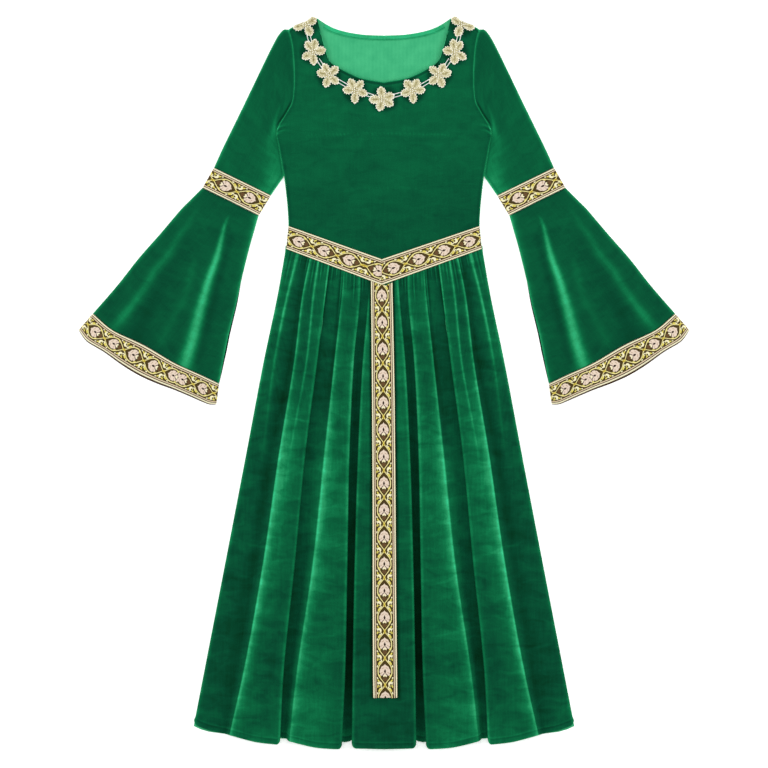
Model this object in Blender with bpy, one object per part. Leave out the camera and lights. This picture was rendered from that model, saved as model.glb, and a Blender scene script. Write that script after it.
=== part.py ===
# A child's medieval costume dress in green velvet, laid flat on its back.
# Tables and sizes are in millimetres. The meshes are made in metres, +Z up, hem towards -Y.
# "out" is a distance from the centre line, "down" a distance below the shoulder's neck point,
# and "rise" the height of a cloth wall's middle above where it would lie flat on the back of the dress.

import math

import bpy
import numpy as np

MM = 0.001


def table(columns, *rows):
    """Give the columns of a table by name."""
    return {name: np.array(values, float) for name, values in zip(columns.split(), zip(*rows))}


# Cloth, ribbon and seams
VELVET = 1.4
RIBBON = 1.0
SEAM = 0.3
REST = VELVET + SEAM + VELVET / 2
# What lies on a panel is this far above it, so that it also stays clear between the mesh's points
LAID_GAP = 0.45
SHARP_ANGLE = 50.0

# The whole dress: the shoulder flowers stand above the neck point of the shoulder
SHOULDER_TO_HEM = 1003.0
FLOWER_ABOVE_SHOULDER = 2.0
SHOULDER_Y = (SHOULDER_TO_HEM - FLOWER_ABOVE_SHOULDER) / 2

# Bodice
FRONT_NECK = table("out down", (89, 0), (84, 31), (77, 54), (72, 61), (59, 69), (36, 80), (19, 84), (0, 87))
BACK_NECK = table("out down", (89, 0), (72, 13), (54, 19), (28, 22), (0, 23))
SHOULDER = table("out down", (131, 18), (122, 10), (89, 0))
ARMHOLE = table("out down", (131, 18), (126, 30), (122, 53), (121, 75), (122, 98), (126, 118),
                (134, 133), (144, 146), (147, 153))
SIDE = table("out down", (147, 153), (144, 177), (140, 199), (137, 216), (135, 232), (132, 262),
             (131, 284), (134, 316))
BODICE_RISE = 2.0
SHOULDER_STEPS = 2
NECK_STEPS = 8
ARMHOLE_STEPS = 8
UNDERARM_STEPS = 3
BELOW_STEPS = 3
NECK_HEM_WIDTH = 7.0
NECK_HEM_STEPS = 16
NECK_HEM_END = 82.0

# Belt: a V with its mitre on the centre line, sewn over the waist seam
BELT_TOP = table("out down", (0, 329), (131, 284))
BELT_BOTTOM = table("out down", (0, 364), (134, 316))
WAIST_SEAM_ABOVE_BELT_EDGE = 5.0
BELT_STEPS = 8
TAIL_LEFT = 16.0
TAIL_RIGHT = 18.0
TAIL_END = 933.0
TAIL_STEPS = 6
TAIL_BELOW_BELT = 0.6
TAIL_ROW_CLEAR = 2.0
CENTRE_COLUMNS = 9

# Upper sleeve, armband, bell sleeve and cuff band
UPPER_OUTER = table("out down", (131, 18), (137, 17), (144, 27), (157, 52), (188, 115), (220, 178), (233, 204))
UPPER_UNDERARM = table("out down", (155, 242), (137, 216))
ARMBAND_TOP = table("out down", (233, 204), (155, 242))
ARMBAND_BOTTOM = table("out down", (249, 232), (172, 270))
BELL_OUTER = table("out down", (249, 232), (265, 248), (279, 262), (307, 295), (336, 328), (366, 366), (399, 404))
BELL_INNER = table("out down", (172, 270), (178, 291), (184, 312), (194, 352), (203, 393), (213, 433),
                   (221, 473), (226, 500))
CUFF_TOP = table("out down", (399, 404), (371, 427), (329, 447), (288, 471), (253, 487), (226, 500))
CUFF_BOTTOM = table("out down", (419, 427), (407, 442), (383, 456), (359, 473), (336, 487), (312, 498),
                    (288, 507), (265, 517), (241, 528), (230, 529))
# A sleeve's puff: how much of its height it keeps at the armband, and how soon it reaches it below the armhole
UPPER_RISE = 3.0
UPPER_RISE_KEPT = 0.5
UPPER_RISE_WITHIN = 0.2
TUBE_ROUNDNESS = 0.7
RIDGE_ROUNDNESS = 0.5
CROSS_STEPS = 5
ELBOW_STEPS = 2
BAND_PROUD = 0.6
BELL_STEPS = 12
BELL_ROWS = 8
CUFF_ROWS = 2
# Soft ridges of a bell: place across it from its outer edge (0) to its inner edge (1), and height
BELL_RIDGES = table("place_at_armband place_at_cuff half_width rise_at_armband rise_at_cuff",
                    (0.49, 0.77, 0.10, 2.0, 9.0),
                    (0.30, 0.23, 0.11, 0.5, 8.0))
BELL_RISE = 1.4

# Skirt: a row for each fold, from the side seam to the centre line
SKIRT_LEVELS = np.array([317, 372, 468, 592, 743, 908, 991], float)
# turn is 1 where a pleat's edge faces the centre, -1 where it faces the side seam, 0 for a ridge or valley;
# steps is the number of mesh columns to the next row, and hem is how far down the fold ends
FOLDS = table("turn steps hem",
              (0, 7, 970),      # side seam
              (0, 7, 979),      # ridge of the side panel
              (0, 4, 983),      # first valley
              (0, 7, 984),      # bright ridge
              (0, 8, 992),      # middle of the outer panel
              (1, 5, 996),      # edge of the outer panel
              (0, 4, 987),      # second valley
              (0, 6, 988),      # ridge of the inner panel
              (0, 6, 995),      # middle of the inner panel
              (1, 3, 1000),     # edge of the inner panel
              (0, 3, 992),      # deep valley
              (-1, 8, 998),     # edge of the centre panel
              (0, 0, 1002))     # centre line
FOLD_OUT = np.array([(134, 142, 163, 187, 217, 249, 265),
                     (117, 131, 150, 166, 192, 224, 241),
                     (107, 116, 128, 153, 176, 205, 219),
                     (99, 110, 122, 142, 164, 192, 210),
                     (88, 96, 106, 128, 146, 166, 177),
                     (73, 80, 92, 109, 125, 139, 143),
                     (58, 62, 72, 98, 108, 129, 136),
                     (51, 54, 66, 80, 96, 120, 129),
                     (42, 44, 54, 64, 73, 87, 94),
                     (33, 34, 43, 48, 51, 55, 58),
                     (27, 28, 36, 40, 44, 48, 50),
                     (21, 22, 29, 34, 38, 40, 41),
                     (0, 0, 0, 0, 0, 0, 0)], float)
FOLD_RISE = np.array([(0.2, 0.2, 0.2, 0.2, 0.2, 0.2, 0.2),
                      (1.5, 3.0, 4.5, 4.0, 3.5, 3.0, 3.0),
                      (1.0, 1.5, 1.5, 1.0, 0.6, 0.6, 0.6),
                      (1.5, 4.0, 7.0, 9.0, 9.0, 9.0, 8.0),
                      (1.5, 4.0, 6.5, 7.0, 6.0, 5.5, 5.0),
                      (2.0, 4.0, 7.5, 9.5, 10.0, 10.5, 10.5),
                      (1.5, 2.0, 2.5, 1.5, 0.8, 0.8, 0.8),
                      (2.0, 4.5, 8.0, 10.0, 10.0, 9.0, 8.5),
                      (2.0, 4.0, 6.5, 7.5, 7.0, 7.0, 7.0),
                      (2.5, 5.0, 8.5, 11.5, 12.5, 13.0, 13.0),
                      (2.0, 2.5, 1.5, 0.6, 0.3, 0.3, 0.3),
                      (3.0, 5.0, 8.5, 11.5, 12.5, 13.0, 13.0),
                      (3.5, 5.5, 8.5, 11.0, 12.0, 12.5, 12.5)], float)
# Mesh rows from the waist seam (0) to the hem (1), with the height of the small gathers at each
SKIRT_ROWS = table("part gather",
                   (0.0, 0.0), (0.0073, 0.0), (0.016, 1.2), (0.045, 1.6), (0.09, 1.5), (0.15, 1.1),
                   (0.23, 0.7), (0.34, 0.3), (0.48, 0.0), (0.65, 0.0), (0.83, 0.0), (1.0, 0.0))
GATHER_STEPS = 4
GATHER_LEAST_WIDTH = 2.5
GATHER_FULL_WIDTH = 6.0
GATHER_CYCLE = (1.0, 0.75, 1.15, 0.85, 1.05, 0.65, 0.95)
# The skirt leaves the bodice's height over this part of its length, and its gathers fade beside the tail
SEAM_BLEND = 0.09
GATHER_CLEAR_OF_TAIL = 2.0
GATHER_FADE = 5.0
# A pleat's turned edge: how far its foot goes back under it and its lip stands out, at the waist and lower down
TURN_AT_WAIST = -2.0
TURN_BELOW = 4.0
LIP_AT_WAIST = 1.5
LIP_BELOW = 3.5
TURN_FULL_AT = 0.35
# Its three points: lip and foot are shares of those reaches, lower is a share of the panel's height down to
# a limit, and up is how much shorter it is at the hem
PLEAT_EDGE = table("lip foot lower limit up",
                   (1, 0, 0.0, 0.0, 0.0),
                   (0, 0, 0.25, 2.8, 1.0),
                   (0, 1, 0.55, 6.0, 4.0))
FOLD_START_ROUNDS = 6
BACK_HEM = table("out down", (260, 970), (243, 977), (211, 981), (172, 985), (114, 988), (60, 990), (0, 990))
SKIRT_BACK_STEPS = 8
SKIRT_BACK_ROWS = 7

# Flowers along the neckline, from the left shoulder to the centre, and the cords between them.
# turn is the angle of a petal, from straight outwards round to straight down at 90
FLOWERS = table("out down turn", (107, 9, 110), (97, 45, 100), (74, 75, 73), (38, 97, 92), (0, 108, 64))
FLOWER_RADIUS = 15.8
PETALS = 5
PETAL_OUTLINE = table("angle reach", (-36, 0.64), (-20, 0.94), (0, 1.0), (20, 0.94))
FLOWER_RING = 0.52
FLOWER_EDGE = 1.0
FLOWER_CROWN = 2.8
FLOWER_HEART = 2.2
CORD_RADIUS = 0.6
CORD_APART = 4.2
CORD_STEPS = 3
CORD_SIDES = 4


def curve(points, steps=8):
    """Round a run of points off into a smooth line through each of them."""
    points = np.asarray(points, float)
    spans = np.linalg.norm(np.diff(points, axis=0), axis=1)
    heading = np.concatenate((points[1:2] - points[0:1], points[2:] - points[:-2], points[-1:] - points[-2:-1]))
    heading /= np.linalg.norm(heading, axis=1)[:, None]
    reach = np.minimum(np.append(spans, spans[-1]), np.append(spans[0], spans))
    slope = heading * reach[:, None]
    counts = np.broadcast_to(steps, spans.shape)
    line = []
    for k, count in enumerate(counts):
        s = (np.arange(count) / count)[:, None]
        line.append((2 * s**3 - 3 * s**2 + 1) * points[k] + (s**3 - 2 * s**2 + s) * slope[k]
                    + (3 * s**2 - 2 * s**3) * points[k + 1] + (s**3 - s**2) * slope[k + 1])
    line.append(points[-1:])
    return np.concatenate(line)


def line_of(outline):
    """Give an outline's smooth line as out, down."""
    return curve(np.stack((outline["out"], outline["down"]), axis=1))


def even(line, count):
    """Take points at equal steps along a line."""
    along = np.concatenate(([0.0], np.cumsum(np.linalg.norm(np.diff(line, axis=0), axis=1))))
    places = np.linspace(0.0, along[-1], count + 1)
    return np.stack([np.interp(places, along, values) for values in line.T], axis=1)


def smooth(levels, values, at):
    """Read a smooth line through values given at rising levels."""
    at = np.clip(at, levels[0], levels[-1])
    slope = np.gradient(values, levels)
    k = np.clip(np.searchsorted(levels, at, side="right") - 1, 0, len(levels) - 2)
    span = levels[k + 1] - levels[k]
    s = (at - levels[k]) / span
    return ((2 * s**3 - 3 * s**2 + 1) * values[k] + (s**3 - 2 * s**2 + s) * span * slope[k]
            + (3 * s**2 - 2 * s**3) * values[k + 1] + (s**3 - s**2) * span * slope[k + 1])


def ease(value):
    """Turn a value into a soft step from 0 to 1."""
    value = np.clip(value, 0.0, 1.0)
    return value * value * (3.0 - 2.0 * value)


def patch(top, bottom, left, right):
    """Fill four edge lines with a grid: rows run from top to bottom, columns from left to right."""
    r = np.linspace(0.0, 1.0, len(left))[:, None, None]
    s = np.linspace(0.0, 1.0, len(top))[None, :, None]
    across = (1 - s) * left[:, None] + s * right[:, None]
    down = (1 - r) * top[None] + r * bottom[None]
    corners = ((1 - r) * ((1 - s) * top[0] + s * top[-1]) + r * ((1 - s) * bottom[0] + s * bottom[-1]))
    return across + down - corners


def shift(line, gap):
    """Move a line sideways, to the left of its own direction as seen in out, down."""
    heading = np.gradient(line, axis=0)
    heading /= np.linalg.norm(heading, axis=1)[:, None]
    return line + gap * np.stack((heading[:, 1], -heading[:, 0]), axis=1)


def space(out, down, height):
    """Place points of the left half in space, still in millimetres."""
    return np.stack((-out, SHOULDER_Y - down, height), axis=-1)


def both_halves(grid):
    """Complete a left half grid, whose last column is the centre line, with its mirror image."""
    mirrored = grid[:, -2::-1] * np.array([-1.0, 1.0, 1.0])
    return np.concatenate((grid, mirrored), axis=1)


def flat_wall(middle, thickness):
    """Give a nearly flat wall's top and bottom points, straight above and below its middle surface."""
    up = np.array([0.0, 0.0, thickness / 2])
    return middle + up, middle - up


def wall(middle, thickness):
    """Give a wall's top and bottom points from its middle surface."""
    across = np.gradient(middle, axis=1)
    along = np.gradient(middle, axis=0)
    normal = np.cross(along, across)
    normal /= np.linalg.norm(normal, axis=2)[:, :, None]
    return middle + normal * thickness / 2, middle - normal * thickness / 2


def wall_shape(top, bottom):
    """Close a wall from its two grids."""
    rows, columns = top.shape[:2]
    count = rows * columns
    number = np.arange(count).reshape(rows, columns)
    faces = []
    for r in range(rows - 1):
        for c in range(columns - 1):
            face = (number[r, c], number[r + 1, c], number[r + 1, c + 1], number[r, c + 1])
            faces.append(face)
            faces.append(tuple(corner + count for corner in reversed(face)))
    edge = np.concatenate((number[:, 0], number[-1, 1:], number[-2::-1, -1], number[0, -2:0:-1]))
    for a, b in zip(edge, np.roll(edge, -1)):
        faces.append((a, a + count, b + count, b))
    return np.concatenate((top.reshape(-1, 3), bottom.reshape(-1, 3))), faces


def tube_shape(plan, crown, thickness):
    """Close a tube that lies flat: plan is its outline grid, crown the height of its upper surface."""
    rows, columns = plan.shape[:2]
    inner_plan = plan.copy()
    for edge, beside in ((0, 1), (-1, -2)):
        inward = plan[:, beside] - plan[:, edge]
        inner_plan[:, edge] += inward / np.linalg.norm(inward, axis=1)[:, None] * thickness
    floor = np.zeros_like(crown)
    outer = np.concatenate((space(plan[..., 0], plan[..., 1], crown),
                            space(plan[..., 0], plan[..., 1], floor)[:, ::-1]), axis=1)
    inner = np.concatenate((space(inner_plan[..., 0], inner_plan[..., 1], crown - thickness),
                            space(inner_plan[..., 0], inner_plan[..., 1], floor + thickness)[:, ::-1]), axis=1)
    around = 2 * columns
    count = rows * around
    number = np.arange(count).reshape(rows, around)
    faces = []
    for c in range(around):
        n = (c + 1) % around
        for r in range(rows - 1):
            face = (number[r, c], number[r + 1, c], number[r + 1, n], number[r, n])
            faces.append(face)
            faces.append(tuple(corner + count for corner in reversed(face)))
        first, last = number[0], number[-1]
        faces.append((first[c], first[n], first[n] + count, first[c] + count))
        faces.append((last[n], last[c], last[c] + count, last[n] + count))
    return np.concatenate((outer.reshape(-1, 3), inner.reshape(-1, 3))), faces


def mirror(shape):
    """Turn a left piece into its right twin."""
    points, faces = shape
    return points * np.array([-1.0, 1.0, 1.0]), [tuple(reversed(face)) for face in faces]


def make_material(name, colour, roughness):
    """Make a plain surface for a group of pieces."""
    material = bpy.data.materials.new(name)
    material.use_nodes = True
    surface = material.node_tree.nodes["Principled BSDF"]
    surface.inputs["Base Color"].default_value = (*colour, 1.0)
    surface.inputs["Roughness"].default_value = roughness
    return material


def make_piece(name, shape, material):
    """Add one closed piece to the scene."""
    points, faces = shape
    mesh = bpy.data.meshes.new(name)
    mesh.from_pydata((np.asarray(points) * MM).tolist(), [], [tuple(int(i) for i in face) for face in faces])
    mesh.materials.append(material)
    mesh.shade_smooth()
    mesh.set_sharp_from_angle(angle=math.radians(SHARP_ANGLE))
    piece = bpy.data.objects.new(name, mesh)
    bpy.context.scene.collection.objects.link(piece)
    return piece


def edge_out(down):
    """How far out the bodice's armhole or side edge lies at a distance down."""
    levels = np.concatenate((ARMHOLE["down"], SIDE["down"][1:]))
    outs = np.concatenate((ARMHOLE["out"], SIDE["out"][1:]))
    return smooth(levels, outs, down)


def waist_seam(out):
    """How far down the waist seam lies, a V that runs with the belt's lower edge."""
    return np.interp(out, BELT_BOTTOM["out"], BELT_BOTTOM["down"]) - WAIST_SEAM_ABOVE_BELT_EDGE


def bodice_rise(out, down):
    """Height of the bodice front's middle above the rest height: full at the centre, none at the seams."""
    share = out / edge_out(down)
    return BODICE_RISE * (1.0 - np.clip(share, 0.0, 1.0) ** 2)


def side_stations():
    """How far down the mesh rows meet the armhole, the stretch beside the sleeve, and the side below it."""
    waist = SIDE["down"][-1] - WAIST_SEAM_ABOVE_BELT_EDGE
    corners = (ARMHOLE["down"][0], ARMHOLE["down"][-1], UPPER_UNDERARM["down"][-1], waist)
    counts = (ARMHOLE_STEPS, UNDERARM_STEPS, BELOW_STEPS)
    runs = [np.linspace(a, b, n + 1)[:-1] for a, b, n in zip(corners, corners[1:], counts)]
    return np.concatenate(runs + [[waist]])


def bodice_plan(neck, seam_down):
    """Grid of the bodice's left half from its shoulder and neckline to its waist."""
    shoulder = even(np.stack((SHOULDER["out"], SHOULDER["down"]), axis=1), SHOULDER_STEPS)
    top = np.concatenate((shoulder, even(line_of(neck), NECK_STEPS)[1:]))
    share = np.linspace(1.0, 0.0, len(top))
    stations = side_stations()
    bottom_down = seam_down(share * SIDE["out"][-1]) - SEAM / 2
    r = ((stations - stations[0]) / (stations[-1] - stations[0]))[:, None]
    down = (1 - r) * top[:, 1] + r * bottom_down
    straight_edge = (1 - r) * top[0, 0] + r * SIDE["out"][-1]
    out = (1 - r) * top[:, 0] + r * share * SIDE["out"][-1]
    out[1:] += (share**3 * (edge_out(down) - straight_edge))[1:]
    return out, down


def make_bodice(velvet, knit):
    """Front, back and the hem band that shows inside the back neckline."""
    out, down = bodice_plan(FRONT_NECK, waist_seam)
    front = both_halves(space(out, down, REST + bodice_rise(out, down)))
    make_piece("bodice_front", wall_shape(*flat_wall(front, VELVET)), velvet)

    straight_waist = SIDE["down"][-1] - WAIST_SEAM_ABOVE_BELT_EDGE
    out, down = bodice_plan(BACK_NECK, lambda place: np.full_like(place, straight_waist))
    back = both_halves(space(out, down, np.full_like(out, VELVET / 2)))
    make_piece("bodice_back", wall_shape(*flat_wall(back, VELVET)), knit)

    neck = line_of(BACK_NECK)
    neck = even(neck[neck[:, 0] < NECK_HEM_END], NECK_HEM_STEPS // 2)
    inside = shift(neck, NECK_HEM_WIDTH)
    inside[-1, 0] = 0.0
    band = np.stack((neck, inside))
    height = np.full(band.shape[:2], VELVET + SEAM + RIBBON / 2)
    hem = both_halves(space(band[..., 0], band[..., 1], height))
    make_piece("back_neck_hem", wall_shape(*flat_wall(hem, RIBBON)), velvet)


def tube_crown(places, rise):
    """Height of a flat tube's upper surface: two walls and the gap at its edges, puffed up between them."""
    return 2 * VELVET + SEAM + rise * np.sin(math.pi * places) ** TUBE_ROUNDNESS


def bell_crown(places, part):
    """Height of a bell's upper surface, with its ridges, at a part of the way from armband to cuff."""
    height = tube_crown(places, BELL_RISE)
    for k in range(len(BELL_RIDGES["half_width"])):
        ridge = {name: values[k] for name, values in BELL_RIDGES.items()}
        centre = ridge["place_at_armband"] + (ridge["place_at_cuff"] - ridge["place_at_armband"]) * part
        rise = ridge["rise_at_armband"] + (ridge["rise_at_cuff"] - ridge["rise_at_armband"]) * ease(part)
        at_edges = np.sin(math.pi * places) ** RIDGE_ROUNDNESS
        height = height + rise * at_edges * np.exp(-((places - centre) / ridge["half_width"]) ** 2 / 2)
    return height


def make_sleeve(velvet, ribbon):
    """Upper sleeve, armband, bell sleeve and cuff band, on each side."""
    places = np.linspace(0.0, 1.0, CROSS_STEPS + 1)
    stations = side_stations()[:ARMHOLE_STEPS + UNDERARM_STEPS + 1]
    seam = shift(np.stack((edge_out(stations), stations), axis=1), SEAM)
    elbow = np.stack((UPPER_UNDERARM["out"][::-1], UPPER_UNDERARM["down"][::-1]), axis=1)
    inner = np.concatenate((seam[CROSS_STEPS:], even(elbow, ELBOW_STEPS)[1:]))
    outer = even(line_of(UPPER_OUTER), len(inner) - 1)
    armhole = seam[:CROSS_STEPS + 1]
    outer[0] = armhole[0]
    band_top = even(line_of(ARMBAND_TOP), CROSS_STEPS)
    plan = patch(armhole, band_top, outer, inner)
    parts = np.linspace(0.0, 1.0, len(inner))[:, None]
    rise = UPPER_RISE * ease(parts / UPPER_RISE_WITHIN) * (1.0 - (1.0 - UPPER_RISE_KEPT) * parts)
    upper = tube_shape(plan, tube_crown(places, rise), VELVET)

    band_bottom = even(line_of(ARMBAND_BOTTOM), CROSS_STEPS)
    along = (band_bottom - band_top) / np.linalg.norm(band_bottom - band_top, axis=1)[:, None]
    band_plan = np.stack((band_top + along * SEAM, band_bottom - along * SEAM))
    band_crown = tube_crown(places, BELL_RISE) + BAND_PROUD
    armband = tube_shape(band_plan, np.stack((band_crown, band_crown)), VELVET)

    places = np.linspace(0.0, 1.0, BELL_STEPS + 1)
    parts = np.linspace(0.0, 1.0, BELL_ROWS + 1)
    plan = patch(even(line_of(ARMBAND_BOTTOM), BELL_STEPS), even(line_of(CUFF_TOP), BELL_STEPS),
                 even(line_of(BELL_OUTER), BELL_ROWS), even(line_of(BELL_INNER), BELL_ROWS))
    bell = tube_shape(plan, np.stack([bell_crown(places, part) for part in parts]), VELVET)

    cuff_top = even(line_of(CUFF_TOP), BELL_STEPS)
    cuff_bottom = even(line_of(CUFF_BOTTOM), BELL_STEPS)
    along = (cuff_bottom - cuff_top) / np.linalg.norm(cuff_bottom - cuff_top, axis=1)[:, None]
    parts = np.linspace(0.0, 1.0, CUFF_ROWS + 1)[:, None, None]
    cuff_plan = (1 - parts) * (cuff_top + along * SEAM) + parts * cuff_bottom
    cuff_crown = bell_crown(places, 1.0) + BAND_PROUD
    cuff = tube_shape(cuff_plan, np.stack([cuff_crown] * (CUFF_ROWS + 1)), VELVET)

    for name, shape, material in (("upper_sleeve", upper, velvet), ("armband", armband, ribbon),
                                  ("bell_sleeve", bell, velvet), ("cuff_band", cuff, ribbon)):
        make_piece(name + "_left", shape, material)
        make_piece(name + "_right", mirror(shape), material)


def fold_start(outs):
    """How far down a fold leaves the waist seam, found by stepping to where the two lines cross."""
    out = outs[0]
    for _ in range(FOLD_START_ROUNDS):
        start = waist_seam(out) + SEAM / 2
        out = smooth(SKIRT_LEVELS, outs, start)
    return start


def fold_knots(part):
    """Points of the skirt's section that its folds give, at a part of the way from waist to hem."""
    knots = []
    opened = ease(part / TURN_FULL_AT)
    foot = TURN_AT_WAIST + (TURN_BELOW - TURN_AT_WAIST) * opened
    lip = LIP_AT_WAIST + (LIP_BELOW - LIP_AT_WAIST) * opened
    asides = PLEAT_EDGE["lip"] * lip + PLEAT_EDGE["foot"] * foot
    for turn, hem, outs, rises in zip(FOLDS["turn"], FOLDS["hem"], FOLD_OUT, FOLD_RISE):
        down = (1 - part) * fold_start(outs) + part * hem
        out = smooth(SKIRT_LEVELS, outs, down)
        rise = smooth(SKIRT_LEVELS, rises, down)
        if turn == 0:
            knots.append((out, down, rise))
            continue
        edge = []
        lowers = np.minimum(PLEAT_EDGE["limit"], PLEAT_EDGE["lower"] * rise)
        for aside, lower, up in zip(turn * asides, lowers, PLEAT_EDGE["up"]):
            along_seam = (1 - part) * (waist_seam(out + aside) - waist_seam(out))
            edge.append((out + aside, down + along_seam - up * part, rise - lower))
        knots.extend(edge if turn > 0 else reversed(edge))
    return np.array(knots)


def fold_steps():
    """Mesh columns between neighbouring points of the section, two for each half of a turned edge."""
    steps = []
    for turn, count in zip(FOLDS["turn"][:-1], FOLDS["steps"][:-1]):
        steps.extend(([] if turn == 0 else [2, 2]) + [int(count)])
    return steps


def skirt_half():
    """Middle surface of the skirt front's left half, in out, down, rise."""
    steps = fold_steps()
    rows = []
    for part, gather in zip(SKIRT_ROWS["part"], SKIRT_ROWS["gather"]):
        line = curve(fold_knots(part), steps)
        out, down, rise = line.T
        seam_rise = bodice_rise(out, down)
        rise = seam_rise + (rise - seam_rise) * ease(part / SEAM_BLEND)
        columns = np.arange(len(out))
        wave = np.cos(2 * math.pi * columns / GATHER_STEPS)
        strength = np.array([GATHER_CYCLE[k // GATHER_STEPS % len(GATHER_CYCLE)] for k in columns])
        reach = np.abs(np.interp(columns + 2, columns, out) - np.interp(columns - 2, columns, out))
        beside_tail = ease((out - TAIL_RIGHT - GATHER_CLEAR_OF_TAIL) / GATHER_FADE)
        room = np.clip((reach - GATHER_LEAST_WIDTH) / (GATHER_FULL_WIDTH - GATHER_LEAST_WIDTH), 0.0, 1.0)
        rise = rise + gather * wave * strength * beside_tail * room
        rows.append(np.stack((out, down, np.maximum(rise, 0.0)), axis=1))
    return np.array(rows)


def make_skirt(velvet, ribbon):
    """Skirt front with its gathers and folds, the back panel, and the belt's tail on the centre panel."""
    half = skirt_half()
    half[:, -1, 0] = 0.0
    front = both_halves(space(half[..., 0], half[..., 1], REST + half[..., 2]))
    make_piece("skirt_front", wall_shape(*wall(front, VELVET)), velvet)

    waist = SIDE["down"][-1] - WAIST_SEAM_ABOVE_BELT_EDGE + SEAM / 2
    side_down = np.linspace(waist, BACK_HEM["down"][0], SKIRT_BACK_ROWS + 1)
    side = np.stack((smooth(SKIRT_LEVELS, FOLD_OUT[0], side_down), side_down), axis=1)
    centre = np.stack((np.zeros(SKIRT_BACK_ROWS + 1),
                       np.linspace(waist, BACK_HEM["down"][-1], SKIRT_BACK_ROWS + 1)), axis=1)
    top = np.stack((np.linspace(side[0, 0], 0.0, SKIRT_BACK_STEPS + 1),
                    np.full(SKIRT_BACK_STEPS + 1, waist)), axis=1)
    plan = patch(top, even(line_of(BACK_HEM), SKIRT_BACK_STEPS), side, centre)
    back = both_halves(space(plan[..., 0], plan[..., 1], np.full(plan.shape[:2], VELVET / 2)))
    make_piece("skirt_back", wall_shape(*flat_wall(back, VELVET)), velvet)

    outs = np.linspace(TAIL_LEFT, -TAIL_RIGHT, TAIL_STEPS + 1)
    centre = half[:, -CENTRE_COLUMNS:]
    panel_down, panel_rise = ([[np.interp(abs(out), row[::-1, 0], row[::-1, axis]) for out in outs]
                               for row in centre] for axis in (1, 2))
    panel_down, panel_rise = np.array(panel_down), np.array(panel_rise)
    start = np.interp(np.abs(outs), BELT_BOTTOM["out"], BELT_BOTTOM["down"]) + TAIL_BELOW_BELT
    end = np.full(len(outs), TAIL_END)
    clear = (panel_down[:, 0] > start[0] + TAIL_ROW_CLEAR) & (panel_down[:, 0] < TAIL_END - TAIL_ROW_CLEAR)
    between = panel_down[clear]
    down = np.concatenate((start[None], between, end[None]))
    rise = np.stack([np.interp(down[:, c], panel_down[:, c], panel_rise[:, c]) for c in range(len(outs))], axis=1)
    height = REST + rise + VELVET / 2 + LAID_GAP + RIBBON / 2
    tail = space(np.broadcast_to(outs, down.shape), down, height)
    make_piece("belt_tail", wall_shape(*wall(tail, RIBBON)), ribbon)


def bodice_top(out, down):
    """Height of the bodice front's upper surface."""
    return REST + bodice_rise(np.abs(out), down) + VELVET / 2


def make_belt(ribbon):
    """The V of ribbon over the waist seam, from side seam to side seam."""
    rows = []
    for edge in (BELT_TOP, BELT_BOTTOM):
        out = np.linspace(edge["out"][-1], 0.0, BELT_STEPS + 1)
        rows.append(np.stack((out, np.interp(out, edge["out"], edge["down"])), axis=1))
    plan = np.stack((rows[0], (rows[0] + rows[1]) / 2, rows[1]))
    out, down = plan[..., 0], plan[..., 1]
    height = bodice_top(out, down) + LAID_GAP + RIBBON / 2
    make_piece("belt", wall_shape(*flat_wall(both_halves(space(out, down, height)), RIBBON)), ribbon)


def flower_shape(out, down, turn):
    """One crocheted flower, resting on the bodice front, flattened where it passes over the shoulder."""
    angle = []
    reach = []
    for petal in range(PETALS):
        angle.extend(np.radians(PETAL_OUTLINE["angle"] + 360 / PETALS * petal + turn))
        reach.extend(PETAL_OUTLINE["reach"])
    angle, reach = np.array(angle), np.array(reach)
    rings = []
    for scale, height in ((1.0, 0.0), (1.0, FLOWER_EDGE), (FLOWER_RING, FLOWER_CROWN)):
        across = out + FLOWER_RADIUS * scale * reach * np.cos(angle)
        below = down + FLOWER_RADIUS * scale * reach * np.sin(angle)
        top = -FLOWER_ABOVE_SHOULDER
        squeeze = min(1.0, (down - top) / FLOWER_RADIUS)
        below = np.where(below < down, down - (down - below) * squeeze, below)
        rings.append(space(across, below, bodice_top(across, below) + LAID_GAP + height))
    heart = bodice_top(out, down) + LAID_GAP
    ends = [space(np.array(out), np.array(down), np.array(heart)),
            space(np.array(out), np.array(down), np.array(heart + FLOWER_HEART))]
    points = np.concatenate(rings + [np.array(ends)])
    count = len(angle)
    faces = []
    for c in range(count):
        n = (c + 1) % count
        faces.append((3 * count, n, c))
        for ring in (0, count):
            faces.append((ring + c, ring + n, ring + n + count, ring + c + count))
        faces.append((2 * count + c, 2 * count + n, 3 * count + 1))
    return points, faces


def cord_shape(start, end, sideways):
    """A short round cord between two flowers."""
    start, end = np.array(start, float), np.array(end, float)
    length = np.linalg.norm(end - start)
    heading = (end - start) / length
    beside = np.array([-heading[1], heading[0]])
    first = start + heading * (FLOWER_RADIUS + SEAM) + beside * sideways
    last = end - heading * (FLOWER_RADIUS + SEAM) + beside * sideways
    points = []
    for step in range(CORD_STEPS + 1):
        middle = first + (last - first) * step / CORD_STEPS
        height = bodice_top(middle[0], middle[1]) + LAID_GAP + CORD_RADIUS
        for side in range(CORD_SIDES):
            turn = 2 * math.pi * (side + 0.5) / CORD_SIDES
            rim = middle + beside * CORD_RADIUS * math.cos(turn) * math.sqrt(2)
            points.append((-rim[0], SHOULDER_Y - rim[1], height + CORD_RADIUS * math.sin(turn) * math.sqrt(2)))
    faces = [tuple(range(CORD_SIDES))[::-1], tuple(range(CORD_STEPS * CORD_SIDES, (CORD_STEPS + 1) * CORD_SIDES))]
    for step in range(CORD_STEPS):
        for side in range(CORD_SIDES):
            n = (side + 1) % CORD_SIDES
            a, b = step * CORD_SIDES, (step + 1) * CORD_SIDES
            faces.append((a + side, a + n, b + n, b + side))
    return np.array(points), faces


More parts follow.
